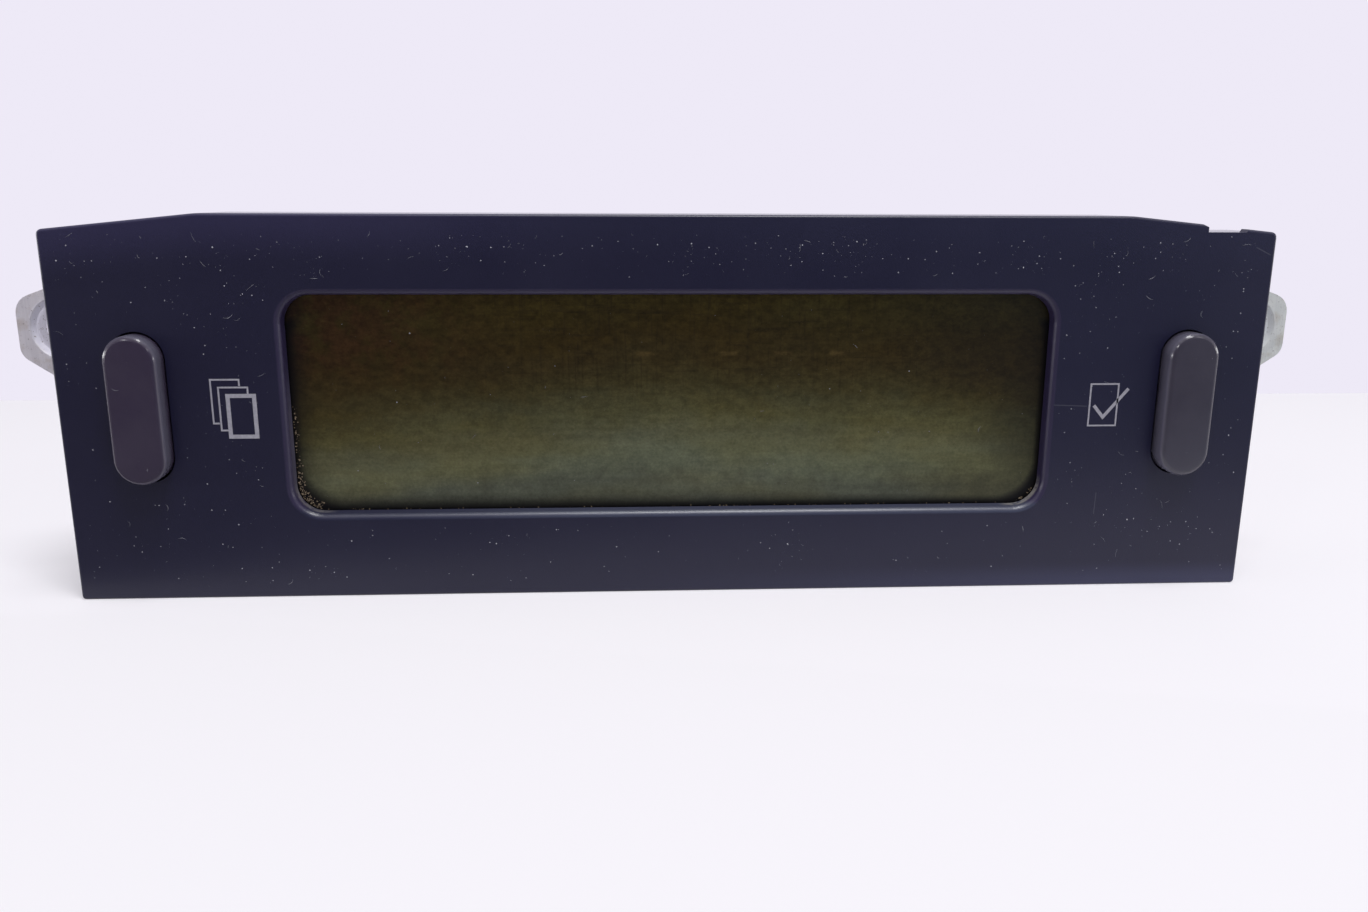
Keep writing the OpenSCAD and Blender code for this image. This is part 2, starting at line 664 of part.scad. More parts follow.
// The capacitors: cans that are rolled in near the foot, on square bases
module smoothing_capacitors() color(steel_colour) place() for (x = [-1, 1] * (capacitor_d / 2 + 0.8))
    at(on_board(0.14, 0.63) + [x, 0]) {
        block([capacitor_d, capacitor_d] / 2, board_back_y, board_back_y + 0.9);
        translate([0, board_back_y + bite, 0]) rotate([-90, 0, 0]) rotate_extrude() polygon([[0, 0],
            [capacitor_d / 2, 0], [capacitor_d / 2, 1.2], [capacitor_d / 2 - 0.4, 1.6],
            [capacitor_d / 2, 2], [capacitor_d / 2, capacitor_h - 1],
            [capacitor_d / 2 - 0.6, capacitor_h - bite], [0, capacitor_h - bite]]);
    }

// The coil: a bobbin with a waist. The crystal: an oval can on a thin flange
coil_r = 4.6;
coil_waist_r = 3.4;
coil_h = 5.6;
coil_rim = 1;
module filter_coil() color(chip_colour) place() at(on_board(0.7, 0.32))
    translate([0, board_back_y, 0]) rotate([-90, 0, 0]) rotate_extrude() polygon([[0, 0], [coil_r, 0],
        [coil_r, coil_rim], [coil_waist_r, 1.6 * coil_rim], [coil_waist_r, coil_h - 1.6 * coil_rim],
        [coil_r, coil_h - coil_rim], [coil_r, coil_h], [0, coil_h]]);
crystal_w = 10.4;
crystal_h = 4.2;
crystal_t = 3.4;
module crystal() color(steel_colour) place() at(on_board(-0.09, 0.63)) {
    slab(board_back_y, board_back_y + 0.6) rotate(90) oval(crystal_h + 2 * bite, crystal_w + 2 * bite);
    slab(board_back_y, board_back_y + crystal_t) rotate(90) oval(crystal_h, crystal_w);
}

// The connector: a deep shell that stands on the board, and its two rows of contacts
module connector_shell() color(housing_colour) place() difference() {
    union() {
        at(socket_at) block(socket_half, board_back_y, socket_rim_y);
        at(socket_at + [0, socket_half[1]]) block([3, 0.8], board_back_y, body_back_y - body_wall - 1);
    }
    at(socket_at) block(socket_half - [1, 1] * socket_wall, socket_floor_y, socket_rim_y + clear);
    for (x = [-1, 1]) at(socket_at + [x * socket_half[0] / 2, socket_half[1] - socket_wall])
        block([1.2, 0.6], socket_floor_y, socket_rim_y + clear);
    for (p = contacts_at) at(p) block([1, 1] * contact_w / 2, board_back_y - clear, socket_floor_y + clear);
}
module connector_pins() color(contact_colour) place() for (p = contacts_at)
    at(p) block([1, 1] * contact_w / 2, board_y + 0.3, socket_floor_y + contact_reach);

// The rear housing

module side_boss() translate([leg_x - body_wall + bite, 0, side_screw_z]) rotate([0, -90, 0])
    cylinder(h = grip + bite, r = boss_r);
module housing_body() difference() {
    union() {
        slab(board_back_y, skirt_depth) skirt_room(fit_gap);
        at(body_mid) difference() {
            slab(skirt_depth - bite, body_back_y) round_rectangle(body_half, body_corner_r);
            carry_round(body_half, body_corner_r) difference() {
                translate([-body_edge_r, body_back_y - body_edge_r]) square(body_edge_r + clear);
                translate([-body_edge_r, body_back_y - body_edge_r]) circle(body_edge_r);
            }
        }
    }
    at(body_mid) slab(board_back_y - clear, body_back_y - body_wall)
        round_rectangle(body_room, max(body_corner_r - body_wall, 0.4));
}
module vents() {
    left_end = 10 - body_half[0];
    right_end = socket_at[0] - socket_half[0] - 5;
    for (x = [left_end : vent_pitch : right_end]) {
        at([x, body_mid[1]]) slab(body_back_y - body_wall - clear, body_back_y + clear) oval(vent_w, vent_h);
        translate([x, skirt_depth + body_depth / 2, body_mid[1]]) linear_extrude(panel_h)
            oval(vent_w, vent_run);
    }
}
module rear_housing() color(housing_colour) place() difference() {
    union() {
        housing_body();
        both_sides() {
            for (y = side_screw_y) translate([0, y, 0]) side_boss();
            translate([runner_x, skirt_depth + fit_gap, 0])
                cube([runner_w, body_depth - body_edge_r - fit_gap, body_low + bite]);
        }
    }
    vents();
    at(socket_at)
        block(socket_half + [1, 1] * socket_gap, body_back_y - body_wall - clear, body_back_y + clear);
    both_sides() {
        for (z = corner_screw_z) at([corner_screw_x, z])
            rod(shank_r + shank_gap, board_back_y - clear, skirt_depth + clear);
        for (y = side_screw_y) translate([leg_x + clear, y, side_screw_z]) rotate([0, -90, 0])
            cylinder(h = grip + body_wall + clear - 1, r = shank_r + thread_gap);
    }
}

// The brackets: steel sheet, bent once, with a pressed seat round the ear's hole. The seat is
// a cone that narrows to the back: the front one is cut away, and the back one stands out

// The bend's section in X and Y: the leg runs back from it, and the ear runs out
module bend_section() {
    outer = bend_r + steel_t;
    translate([0, outer]) square([steel_t, bracket_run - outer]);
    translate([outer, 0]) square([ear_tip_x - leg_x - outer, steel_t]);
    intersection() {
        square(outer);
        translate([outer, outer]) difference() {
            circle(outer);
            circle(bend_r);
        }
    }
}
ear_points = [[leg_x - clear, bracket_low], [ear_at[0] - ear_slope_in, bracket_low],
    [ear_tip_x, ear_at[1] - ear_flat], [ear_tip_x, ear_at[1] + ear_flat],
    [ear_at[0], bracket_high], [leg_x - clear, bracket_high]];
ear_radii = [0, 4, 2.6, 3.2, 4, 0];
module seat(face, lead) cone(seat_r + lead * seat_run / seat_sink, seat_r - seat_run,
    face - lead, face + seat_sink);
module bracket() difference() {
    union() {
        intersection() {
            translate([leg_x, skirt_depth, bracket_low])
                linear_extrude(bracket_high - bracket_low) bend_section();
            slab(skirt_depth - clear, body_back_y)
                polygon([for (q = rounded(ear_points, ear_radii)) q[0]]);
        }
        at(ear_at) seat(skirt_depth + steel_t, bite);
    }
    at(ear_at) seat(skirt_depth, clear);
    at(ear_at) rod(ear_hole_r, skirt_depth - clear, body_back_y);
    at([corner_screw_x, corner_screw_z[1]]) rod(head_r + shank_gap, skirt_depth - clear, body_back_y);
    for (y = side_screw_y) translate([leg_x - clear, y, side_screw_z]) rotate([0, 90, 0])
        cylinder(h = steel_t + 2 * clear, r = shank_r + shank_gap);
}
module right_bracket() color(steel_colour) place() bracket();
module left_bracket() color(steel_colour) place() at_left() bracket();

// The screws: a low domed head with a cross recess, and a plain shank below it. A screw is
// drawn with its head's seat at Z = 0 and its shank down
recess_w = 0.8;
module screw(shank) difference() {
    union() {
        rotate_extrude() polygon([[0, 0], [head_r, 0], [head_r, 0.35 * head_h],
            [0.92 * head_r, 0.7 * head_h], [0.7 * head_r, 0.92 * head_h], [0.4 * head_r, head_h],
            [0, head_h]]);
        translate([0, 0, -shank]) cylinder(h = shank + bite, r = shank_r);
    }
    for (turn = [0, 90]) rotate(turn) translate([-0.6 * head_r, -recess_w / 2, 0.4 * head_h])
        cube([1.2 * head_r, recess_w, head_h]);
}
// How far a driven screw stops short of the foot of its hole
foot_room = 0.5;
module board_screws() color(screw_colour) place() both_sides() for (z = board_screw_z)
    translate([board_screw_x, board_back_y, z]) rotate([-90, 0, 0]) screw(board_t + grip - foot_room);
module housing_screws() color(screw_colour) place() both_sides() for (z = corner_screw_z)
    translate([corner_screw_x, skirt_depth, z]) rotate([-90, 0, 0]) screw(flange_t + grip - foot_room);
module bracket_screws() color(screw_colour) place() both_sides() for (y = side_screw_y)
    translate([leg_x + steel_t, y, side_screw_z]) rotate([0, 90, 0])
        screw(steel_t + body_wall + grip - 1 - foot_room);

front_bezel();
left_key();
right_key();
window_gasket();
front_polariser();
lcd_front_glass();
lcd_rear_glass();
rear_polariser();
diffuser_sheet();
light_guide();
reflector_tray();
upper_contact_strip();
lower_contact_strip();
left_light_pipe();
right_light_pipe();
circuit_board();
backlight_leds();
symbol_leds();
left_key_switch();
right_key_switch();
left_switch_plunger();
right_switch_plunger();
microcontroller();
display_driver();
memory_chip();
voltage_regulator();
smoothing_capacitors();
filter_coil();
crystal();
connector_shell();
connector_pins();
rear_housing();
left_bracket();
right_bracket();
board_screws();
housing_screws();
bracket_screws();
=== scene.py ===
"""Finish, marks, dust, light and camera for a dashboard display unit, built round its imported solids.

+X is right as the front is seen, +Y goes back into the dashboard and +Z is up. Lengths are in metres in the
meshes and the studio, and MM turns a length in millimetres into one. Marks and patterns are in millimetres,
and depths go back from the panel's front face.
"""
import json
import math

import bpy
import numpy as np
from mathutils import Matrix, Vector


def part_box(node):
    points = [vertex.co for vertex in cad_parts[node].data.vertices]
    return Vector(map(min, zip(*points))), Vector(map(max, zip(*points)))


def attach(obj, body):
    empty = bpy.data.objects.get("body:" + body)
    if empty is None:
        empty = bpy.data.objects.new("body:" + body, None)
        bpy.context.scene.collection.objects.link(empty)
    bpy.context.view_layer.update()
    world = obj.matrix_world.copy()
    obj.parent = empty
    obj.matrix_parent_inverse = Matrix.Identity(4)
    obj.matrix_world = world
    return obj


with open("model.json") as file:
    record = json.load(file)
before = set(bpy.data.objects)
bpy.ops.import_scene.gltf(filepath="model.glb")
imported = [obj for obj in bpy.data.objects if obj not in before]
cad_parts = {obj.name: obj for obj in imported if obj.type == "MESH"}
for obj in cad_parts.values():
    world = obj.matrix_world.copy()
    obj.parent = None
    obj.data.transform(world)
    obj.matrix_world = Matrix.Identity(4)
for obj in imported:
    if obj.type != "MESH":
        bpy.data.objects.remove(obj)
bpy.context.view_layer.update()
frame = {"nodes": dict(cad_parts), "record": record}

MM = 0.001
TURN = 2 * math.pi

# The panel's front face, and in millimetres its top and the depth of the film on the LCD
panel_low, panel_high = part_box("front_bezel")
film_low, film_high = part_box("front_polariser")
FACE_Y = panel_low.y
PANEL_TOP = panel_high.z / MM
FILM_DEPTH = (film_low.y - FACE_Y) / MM

# The foot of the window's drafted walls, in millimetres. The gasket reaches past it on every side
GASKET_PAST = 1.3
WINDOW_R = 4.3
gasket_low, gasket_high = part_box("window_gasket")
WINDOW_MIDDLE = (film_low + film_high) / 2 / MM
WINDOW_HALF = (gasket_high - gasket_low) / 2 / MM - Vector((GASKET_PAST, 0, GASKET_PAST))
WINDOW_LEFT, WINDOW_RIGHT = WINDOW_MIDDLE.x - WINDOW_HALF.x, WINDOW_MIDDLE.x + WINDOW_HALF.x
WINDOW_LOW = WINDOW_MIDDLE.z - WINDOW_HALF.z

ear_holes = next(mount for mount in frame["record"]["mounts"] if mount["name"] == "ear_holes")
EAR_HOLE_X, EAR_HOLE_Z = ear_holes["dims"]["spacing_x_mm"] / 2, ear_holes["pos_m"][2] / MM


# Materials

class Wire:
    """A number or colour in a node tree. Arithmetic on numbers adds Math nodes."""

    def __init__(self, nodes, socket):
        self.nodes = nodes
        self.socket = socket

    def math(self, operation, first, second=0.0):
        """A Math node's result."""
        return self.nodes.node("ShaderNodeMath", {"operation": operation}, {0: first, 1: second})

    def __add__(self, other):
        return self.math("ADD", self, other)

    def __radd__(self, other):
        return self.math("ADD", other, self)

    def __sub__(self, other):
        return self.math("SUBTRACT", self, other)

    def __rsub__(self, other):
        return self.math("SUBTRACT", other, self)

    def __mul__(self, other):
        return self.math("MULTIPLY", self, other)

    def __rmul__(self, other):
        return self.math("MULTIPLY", other, self)

    def __truediv__(self, other):
        return self.math("DIVIDE", self, other)

    def __pow__(self, other):
        return self.math("POWER", self, other)

    def __gt__(self, other):
        return self.math("GREATER_THAN", self, other)

    def __lt__(self, other):
        return self.math("LESS_THAN", self, other)

    def __abs__(self):
        return self.math("ABSOLUTE", self)

    def top(self, *others):
        """The largest of this and the others."""
        largest = self
        for other in others:
            largest = self.math("MAXIMUM", largest, other)
        return largest

    def low(self, other):
        """The smaller of the two."""
        return self.math("MINIMUM", self, other)

    def part(self):
        """What is left of the number after its whole part."""
        return self.math("FRACT", self)

    def rise(self, start, end):
        """0 below start and 1 above end, with a smooth step between. It falls where end < start."""
        low, high, first, last = (start, end, 0.0, 1.0) if start < end else (end, start, 1.0, 0.0)
        return self.nodes.node("ShaderNodeMapRange", {"interpolation_type": "SMOOTHSTEP"}, {
            "Value": self, "From Min": low, "From Max": high, "To Min": first, "To Max": last})


class Nodes:
    """A node tree, to which nodes are added by their type."""

    def __init__(self, tree):
        self.tree = tree

    def node(self, kind, settings=None, inputs=None, out=0):
        """Adds a node, sets its settings and then its inputs, and gives one of its outputs."""
        node = self.tree.nodes.new(kind)
        for name, value in (settings or {}).items():
            if name == "stops":
                self.set_stops(node.color_ramp, value)
            else:
                setattr(node, name, value)
        for name, value in (inputs or {}).items():
            self.feed(node.inputs[name], value)
        return Wire(self, node.outputs[out])

    def feed(self, socket, value):
        """Links a wire to a socket, or writes a number, a vector or a colour into it."""
        if isinstance(value, Wire):
            self.tree.links.new(value.socket, socket)
        elif isinstance(value, tuple) and socket.type == "RGBA":
            socket.default_value = (*value, 1.0)
        else:
            socket.default_value = value

    def set_stops(self, ramp, stops):
        """Gives a ramp its stops: each is a place from 0 to 1, and a colour or a number for a grey."""
        while len(ramp.elements) < len(stops):
            ramp.elements.new(0.5)
        for element, (place, colour) in zip(ramp.elements, stops):
            element.position = place
            element.color = (*colour, 1.0) if isinstance(colour, tuple) else (colour, colour, colour, 1.0)

    def seen(self):
        """1 on a ray from the camera or one sent on by a mirror or glass, and 0 on scattered light."""
        camera, glossy, through = (self.node("ShaderNodeLightPath", out=f"Is {kind} Ray")
                                   for kind in ("Camera", "Glossy", "Transmission"))
        return camera.top(glossy, through)


class Finish(Nodes):
    """A procedural material on Object coordinates: a node tree that feeds one Principled shader."""

    def __init__(self, name, **constants):
        self.material = bpy.data.materials.new(name)
        self.material.use_nodes = True
        super().__init__(self.material.node_tree)
        self.shader = self.tree.nodes["Principled BSDF"]
        self.point = self.node("ShaderNodeTexCoord", out="Object")
        for socket, value in constants.items():
            self.set(socket.replace("_", " "), value)

    def set(self, socket, value):
        """Feeds one of the shader's sockets."""
        self.feed(self.shader.inputs[socket], value)

    def axes(self):
        """The point's X, Y and Z in millimetres."""
        return [self.node("ShaderNodeSeparateXYZ", {}, {0: self.point}, axis) / MM for axis in "XYZ"]

    def stretched(self, size):
        """The point in steps of this size in millimetres, which is one number or one for each axis."""
        sizes = size if isinstance(size, tuple) else (size, size, size)
        steps = tuple(1 / (step * MM) for step in sizes)
        return self.node("ShaderNodeVectorMath", {"operation": "MULTIPLY"}, {0: self.point, 1: steps})

    def noise(self, size, detail=2.0, roughness=0.5):
        """Soft noise whose lumps are about this size in millimetres."""
        return self.node("ShaderNodeTexNoise", {"noise_dimensions": "3D"}, {
            "Vector": self.stretched(size), "Scale": 1.0, "Detail": detail, "Roughness": roughness})

    def cells(self, size, out="Distance"):
        """Cells about this many millimetres apart: the Distance to a cell's centre, or the cell's Color."""
        return self.node("ShaderNodeTexVoronoi", {"feature": "F1"},
                         {"Vector": self.stretched(size), "Scale": 1.0}, out)

    def grey(self, colour):
        """The red part of a colour, as a number."""
        return self.node("ShaderNodeSeparateColor", {}, {0: colour}, "Red")

    def blend(self, amount, first, second, kind="MIX"):
        """The first colour, changed to the second by an amount, or multiplied by it with kind MULTIPLY.

        The Mix node's sockets 6 and 7 are its two colours, and 2 is its colour result.
        """
        return self.node("ShaderNodeMix", {"data_type": "RGBA", "blend_type": kind},
                         {0: amount, 6: first, 7: second}, 2)

    def ramp(self, value, *stops):
        """The colour that a row of stops has at a value from 0 to 1."""
        return self.node("ShaderNodeValToRGB", {"stops": stops}, {0: value})

    def bump(self, height, depth):
        """A bump of this depth in millimetres where height goes from 0 to 1."""
        return self.node("ShaderNodeBump", {}, {"Height": height, "Distance": depth * MM, "Strength": 1.0})


def specks(f, spacing, radius, share):
    """1 on round dots and 0 elsewhere: of cells spacing mm apart, a share holds a dot of this radius."""
    chosen = f.grey(f.cells(spacing, "Color")) < share
    return (f.cells(spacing) < radius / spacing) * chosen


def past_window(x, z, corner):
    """How far a point lies outside the window's walls, in millimetres: it is below 0 inside.

    The window is a rounded rectangle, here with corners of this radius.
    """
    over_x = abs(x - WINDOW_MIDDLE.x) - (WINDOW_HALF.x - corner)
    over_z = abs(z - WINDOW_MIDDLE.z) - (WINDOW_HALF.z - corner)
    outside = (over_x.top(0.0) ** 2.0 + over_z.top(0.0) ** 2.0) ** 0.5
    return outside + over_x.top(over_z).low(0.0) - corner


def scratch(x, z, start, end, width):
    """1 on a straight scratch between two points in X and Z, and 0 away from it."""
    run, climb = end[0] - start[0], end[1] - start[1]
    length = math.hypot(run, climb)
    along = ((x - start[0]) * run + (z - start[1]) * climb) / length
    aside = ((x - start[0]) * climb - (z - start[1]) * run) / length
    past = (abs(along - length / 2) - length / 2).top(0.0)
    return ((aside ** 2.0 + past ** 2.0) ** 0.5).rise(width, width / 3)


# Colours of the panel and of what lies on it. Every colour here is a linear red, green and blue
PANEL_DARK, PANEL_PALE = (0.0035, 0.0032, 0.0230), (0.0058, 0.0056, 0.0270)
# Paler tints for the panel's edges: painted sheen along its top and painted reflection of the table at its
# foot
EDGE_SHEEN_LEFT, EDGE_SHEEN_RIGHT = (0.027, 0.023, 0.077), (0.029, 0.031, 0.079)
# Painted highlight on the window's lip: on its upper and side parts, and on its lower part
LIP_SHEEN_UPPER, LIP_SHEEN_LOWER = (0.054, 0.040, 0.090), (0.043, 0.049, 0.083)
# Painted light on the window's walls behind the lip
WALL_PAINTED_LIGHT = (0.10, 0.095, 0.13)
SCRATCH_GREY = (0.20, 0.20, 0.23)
DUST_GREY = (0.42, 0.42, 0.46)
DRIED_DIRT = (0.29, 0.275, 0.25)

# How far from the middle the panel's top edge starts to fall, and its fall per millimetre
SHOULDER_X, SHOULDER_FALL = 71, 0.104
# How wide the rounded lip is that runs round the window
LIP_W = 1.0
# Each scratch near the panel's right end: its two ends in X and Z, and its width
SCRATCHES = [((60.7, 30.5), (66.0, 30.3), 0.12), ((68.9, 15.9), (68.8, 12.4), 0.10),
             ((90.9, 55.3), (93.2, 54.2), 0.12)]


def painted_edge_sheen(f, x, z, colour):
    """The panel's colour with painted sheen along the left of its top edge
    and painted reflection of the table along the right of its foot.
    """
    below_top = z - PANEL_TOP + (abs(x) - SHOULDER_X).top(0.0) * SHOULDER_FALL
    top_edge = below_top.rise(-8, 0) * (0.25 + 0.75 * x.rise(0, -60))
    foot_edge = z.rise(4.5, 0.5) * x.rise(-20, 90) * 1.6
    paler = f.blend(x.rise(-50, 0), EDGE_SHEEN_LEFT, EDGE_SHEEN_RIGHT)
    return f.blend(top_edge.top(foot_edge) * 0.5, colour, paler)


def panel_plastic():
    """Satin blue-black plastic: spark-eroded on the face and polished behind it, with smears and fine dust.

    The window's rounded lip is painted paler as a painted highlight, most of all the lower one, and the
    walls behind it are painted paler as painted light. Dirt has dried on those walls in the window's lower
    corners. The face has painted sheen along the left of its top edge and painted reflection of the table
    along the right of its bottom edge, and has three faint scratches near its right end.
    """
    f = Finish("panel_plastic", IOR=1.5)
    x, y, z = f.axes()
    depth, up = y - FACE_Y / MM, z - WINDOW_LOW
    smear = f.noise(26, 3.0, 0.6)
    grain = f.noise(0.22, 1.0)
    colour = f.ramp(smear, (0.3, PANEL_DARK), (0.7, PANEL_PALE))
    dust = (specks(f, 3.1, 0.05, 0.30) * 0.8).top(specks(f, 1.1, 0.025, 0.4) * 0.5)
    # Painted sheen along the top edge and painted reflection of the table at the foot
    colour = painted_edge_sheen(f, x, z, f.blend(dust * 0.30, colour, DUST_GREY))
    first, *others = (scratch(x, z, *mark) for mark in SCRATCHES)
    colour = f.blend(first.top(*others) * 0.16, colour, SCRATCH_GREY)

    edge = past_window(x, z, WINDOW_R)
    lip = edge.rise(LIP_W + 0.15, LIP_W - 0.15)
    lower = up.rise(1.1, 0.2)
    # Painted highlight: the window's lip is painted paler, most of all the middle and right of the lower
    # lip
    blend_area = lip * (0.34 + lower * (0.60 * x.rise(-52, -12) - 0.10))
    colour = f.blend(blend_area, colour, f.blend(lower, LIP_SHEEN_UPPER, LIP_SHEEN_LOWER))
    # Painted light: the walls behind the lip are painted paler, most at the sides and a little along the
    # foot
    side_wall = up.rise(26.3, 12.3) * up.rise(1.1, 5.3) * x.rise(58, -20) * 0.7
    wall = edge.rise(0.25, 0.0) * side_wall.top(lower * 0.10) * depth.rise(2.4, 2.1)
    colour = f.blend(wall, colour, WALL_PAINTED_LIGHT)

    past_side = abs(x - WINDOW_MIDDLE.x) - WINDOW_HALF.x
    corner = up.rise(5.3, 2.8) * past_side.rise(-6.5, -4.0) * depth.rise(0.9, 1.5) * edge.rise(0.35, 0.05)
    dried = corner * f.noise(0.9, 3.0, 0.7).rise(0.3, 0.55) * (0.3 + 0.3 * x.rise(-40, 40))
    f.set("Base Color", f.blend(dried, colour, DRIED_DIRT))
    front = depth.rise(3.0, 2.0)
    f.set("Roughness", 0.14 + front * (0.22 + 0.10 * smear) - 0.07 * lip + 0.3 * dust)
    f.set("Normal", f.bump(grain * front, 0.012))
    return f.material


# Colours of each key in its dark and pale clouds, the right key's painted paler as painted light, then the
# painted reflection on the right key's lower half and the painted sheen on the side
LEFT_KEY_DARK, LEFT_KEY_PALE = (0.028, 0.020, 0.042), (0.035, 0.027, 0.049)
RIGHT_KEY_DARK, RIGHT_KEY_PALE = (0.032, 0.028, 0.043), (0.041, 0.037, 0.054)
KEY_FOOT_REFLECTION, KEY_SIDE_SHEEN = (0.055, 0.053, 0.073), (0.095, 0.090, 0.125)


def key_plastic():
    """Smoother grey-violet plastic. The front edge is polished, and the side next to it has painted sheen.

    The right key is painted a little paler than the left as painted light, and its lower half paler still
    as painted reflection of the table.
    """
    f = Finish("key_plastic", IOR=1.5)
    x, y, z = f.axes()
    depth = y - FACE_Y / MM
    smear = f.noise(7, 3.0, 0.6)
    grain = f.noise(0.3, 1.0)
    left_key = f.ramp(smear, (0.3, LEFT_KEY_DARK), (0.7, LEFT_KEY_PALE))
    right_key = f.ramp(smear, (0.3, RIGHT_KEY_DARK), (0.7, RIGHT_KEY_PALE))
    # The right key is painted a little paler than the left: painted light
    colour = f.blend(x.rise(-50, 50), left_key, right_key)
    dust = specks(f, 2.7, 0.07, 0.22)
    colour = f.blend(dust * 0.25, colour, DUST_GREY)
    # Painted reflection of the table: the right key's lower half is paler
    colour = f.blend(x.rise(0, 60) * z.rise(32, 22) * 0.5, colour, KEY_FOOT_REFLECTION)
    # Painted sheen: the side next to the front edge is paler
    side = depth.rise(-3.0, -2.5) * depth.rise(0.2, -2.0)
    f.set("Base Color", f.blend(side, colour, KEY_SIDE_SHEEN))
    edge = depth.rise(-3.06, -2.94) * depth.rise(-1.9, -2.3)
    f.set("Roughness", 0.20 + 0.08 * smear - 0.08 * edge + 0.3 * dust)
    f.set("Normal", f.bump(grain, 0.004))
    return f.material


# The LCD's colours upwards, at shares of LCD_RUN millimetres that start LCD_START above its foot. The tints
# are the LCD's own, and their brightening downwards is painted reflection of the table in front
LCD_START, LCD_RUN = 3.4, 32.0
LCD_COLOURS = [
    (0.02, (0.170, 0.177, 0.112)), (0.15, (0.242, 0.256, 0.142)), (0.26, (0.205, 0.204, 0.104)),
    (0.36, (0.168, 0.160, 0.068)), (0.50, (0.112, 0.092, 0.031)), (0.62, (0.086, 0.062, 0.019)),
    (0.76, (0.078, 0.054, 0.013)), (0.92, (0.093, 0.071, 0.016))]
YELLOWER, BLUER = (1.0, 0.95, 0.82), (0.96, 1.0, 1.08)
LCD_WARM = (0.080, 0.035, 0.013)
LCD_LINE = (0.045, 0.032, 0.012)
LCD_GHOST = (0.17, 0.115, 0.035)
LCD_SHADE = (0.010, 0.009, 0.010)

# Middles of the short dashes that have burnt faintly into the LCD, and their height above its foot
GHOST_X, GHOST_UP = (-4.4, 8.6, 17.2, 26.0), 24.9
# Radius of the corners of the shade that lies round the LCD, except along its top
SHADE_R = 7.5


def lcd_ground(f, x, up, lumps, broad):
    """The LCD before its wear: olive below, brown above and warmer at the upper left, in long patches."""
    # Brighter lower down: painted reflection of the table, over the LCD's own olive and brown
    height = up - LCD_START + 0.0009 * (x - 8.0) ** 2.0 + (lumps - 0.5) * 5.0 + (broad - 0.5) * 7.0
    colour = f.ramp(height / LCD_RUN, *LCD_COLOURS)
    hue = f.ramp(f.noise((26, 1, 7)), (0.36, YELLOWER), (0.64, BLUER))
    warm = x.rise(-20, -52) * up.rise(18.3, 26.3) * (lumps + broad).rise(0.85, 1.15)
    return f.blend(warm * 0.8, f.blend(1.0, colour, hue, "MULTIPLY"), LCD_WARM)


def lcd_wear(f, x, up, mottle, colour):
    """The LCD's colour with dark grid lines in its upper middle and the burnt dashes in its dark band."""
    lines = f.noise((0.35, 1.0, 9.0), 3.0, 0.7).rise(0.52, 0.68)
    rows = f.noise((11.0, 1.0, 0.5), 3.0, 0.7).rise(0.54, 0.68)
    blend_area = up.rise(15.3, 24.3) * abs(x - 4.0).rise(46, 20)
    colour = f.blend(lines.top(rows) * blend_area * 0.55, colour, LCD_LINE)
    first, *others = (abs(x - middle).rise(1.9, 1.0) for middle in GHOST_X)
    dashes = first.top(*others) * abs(up - GHOST_UP).rise(0.55, 0.1) * (0.3 + mottle)
    return f.blend(dashes * 0.7, colour, LCD_GHOST)


def lcd_shade(x, z, up, mottle):
    """How dark the LCD is towards the gasket: round its edge, except along the top, and further in at its
    sides, its right corners and its lower left.
    """
    left = (x - WINDOW_LEFT).rise(4.4, -0.5) * 0.75
    right = (WINDOW_RIGHT - x).rise(17.0, 0.0) * 0.65
    upper_right = x.rise(24, 54) * up.rise(12.3, 22.3) * 0.5
    lower_right = x.rise(4, 72) * up.rise(11.3, 3.3) * 0.6
    rim = past_window(x, z, SHADE_R).rise(-3.0, 0.3) * up.rise(32.8, 29.3)
    foot = (x - WINDOW_LEFT).rise(6.0, 1.0) * up.rise(12.3, 3.3) * (0.35 + 0.9 * (mottle - 0.5))
    return left.top(right, upper_right, lower_right, rim, foot)


def lcd_face():
    """The LCD behind its polariser: a dim mirror, mottled all over and streaked in its lower half."""
    f = Finish("lcd_face", IOR=1.5)
    x, _, z = f.axes()
    up = z - WINDOW_LOW
    fine = f.noise(0.35, 3.0, 0.7)
    mottle = f.noise((1.5, 1.0, 0.9), 3.0, 0.7)
    lumps = f.noise(3.2, 4.0, 0.65)
    broad = f.noise(30)
    streaks = f.noise((14, 1, 1.1), 3.0, 0.6)
    colour = lcd_wear(f, x, up, mottle, lcd_ground(f, x, up, lumps, broad))
    for amount, pattern, low, high in (
            (up.rise(20.3, 12.3), streaks, (0.3, 0.90), (0.7, 1.10)),
            (0.42, lumps, (0.3, 0.55), (0.7, 1.0)),
            (0.22 + 0.50 * up.rise(4.3, 24.3), mottle, (0.35, 0.62), (0.65, 1.35)),
            (0.36, fine, (0.35, 0.40), (0.65, 1.0))):
        colour = f.blend(amount, colour, f.ramp(pattern, low, high), "MULTIPLY")
    f.set("Base Color", f.blend(lcd_shade(x, z, up, mottle), colour, LCD_SHADE))
    f.set("Metallic", 0.8)
    f.set("Roughness", 0.34 + 0.08 * fine)
    f.set("Coat Weight", 0.12)
    f.set("Coat Roughness", 0.25)
    return f.material


# The steel's colours, the right bracket's greener tint, which is painted reflection, and the radius of the
# pressed seat round an ear's hole
ZINC_DULL, ZINC_BRIGHT = (0.82, 0.80, 0.82), (1.0, 0.98, 0.98)
ZINC_BROWN, ZINC_SEAT, ZINC_FLECK = (0.66, 0.58, 0.50), (0.74, 0.75, 0.90), (0.22, 0.17, 0.15)
RIGHT_REFLECTION_TINT = (0.86, 0.89, 0.82)
SEAT_R = 5.2


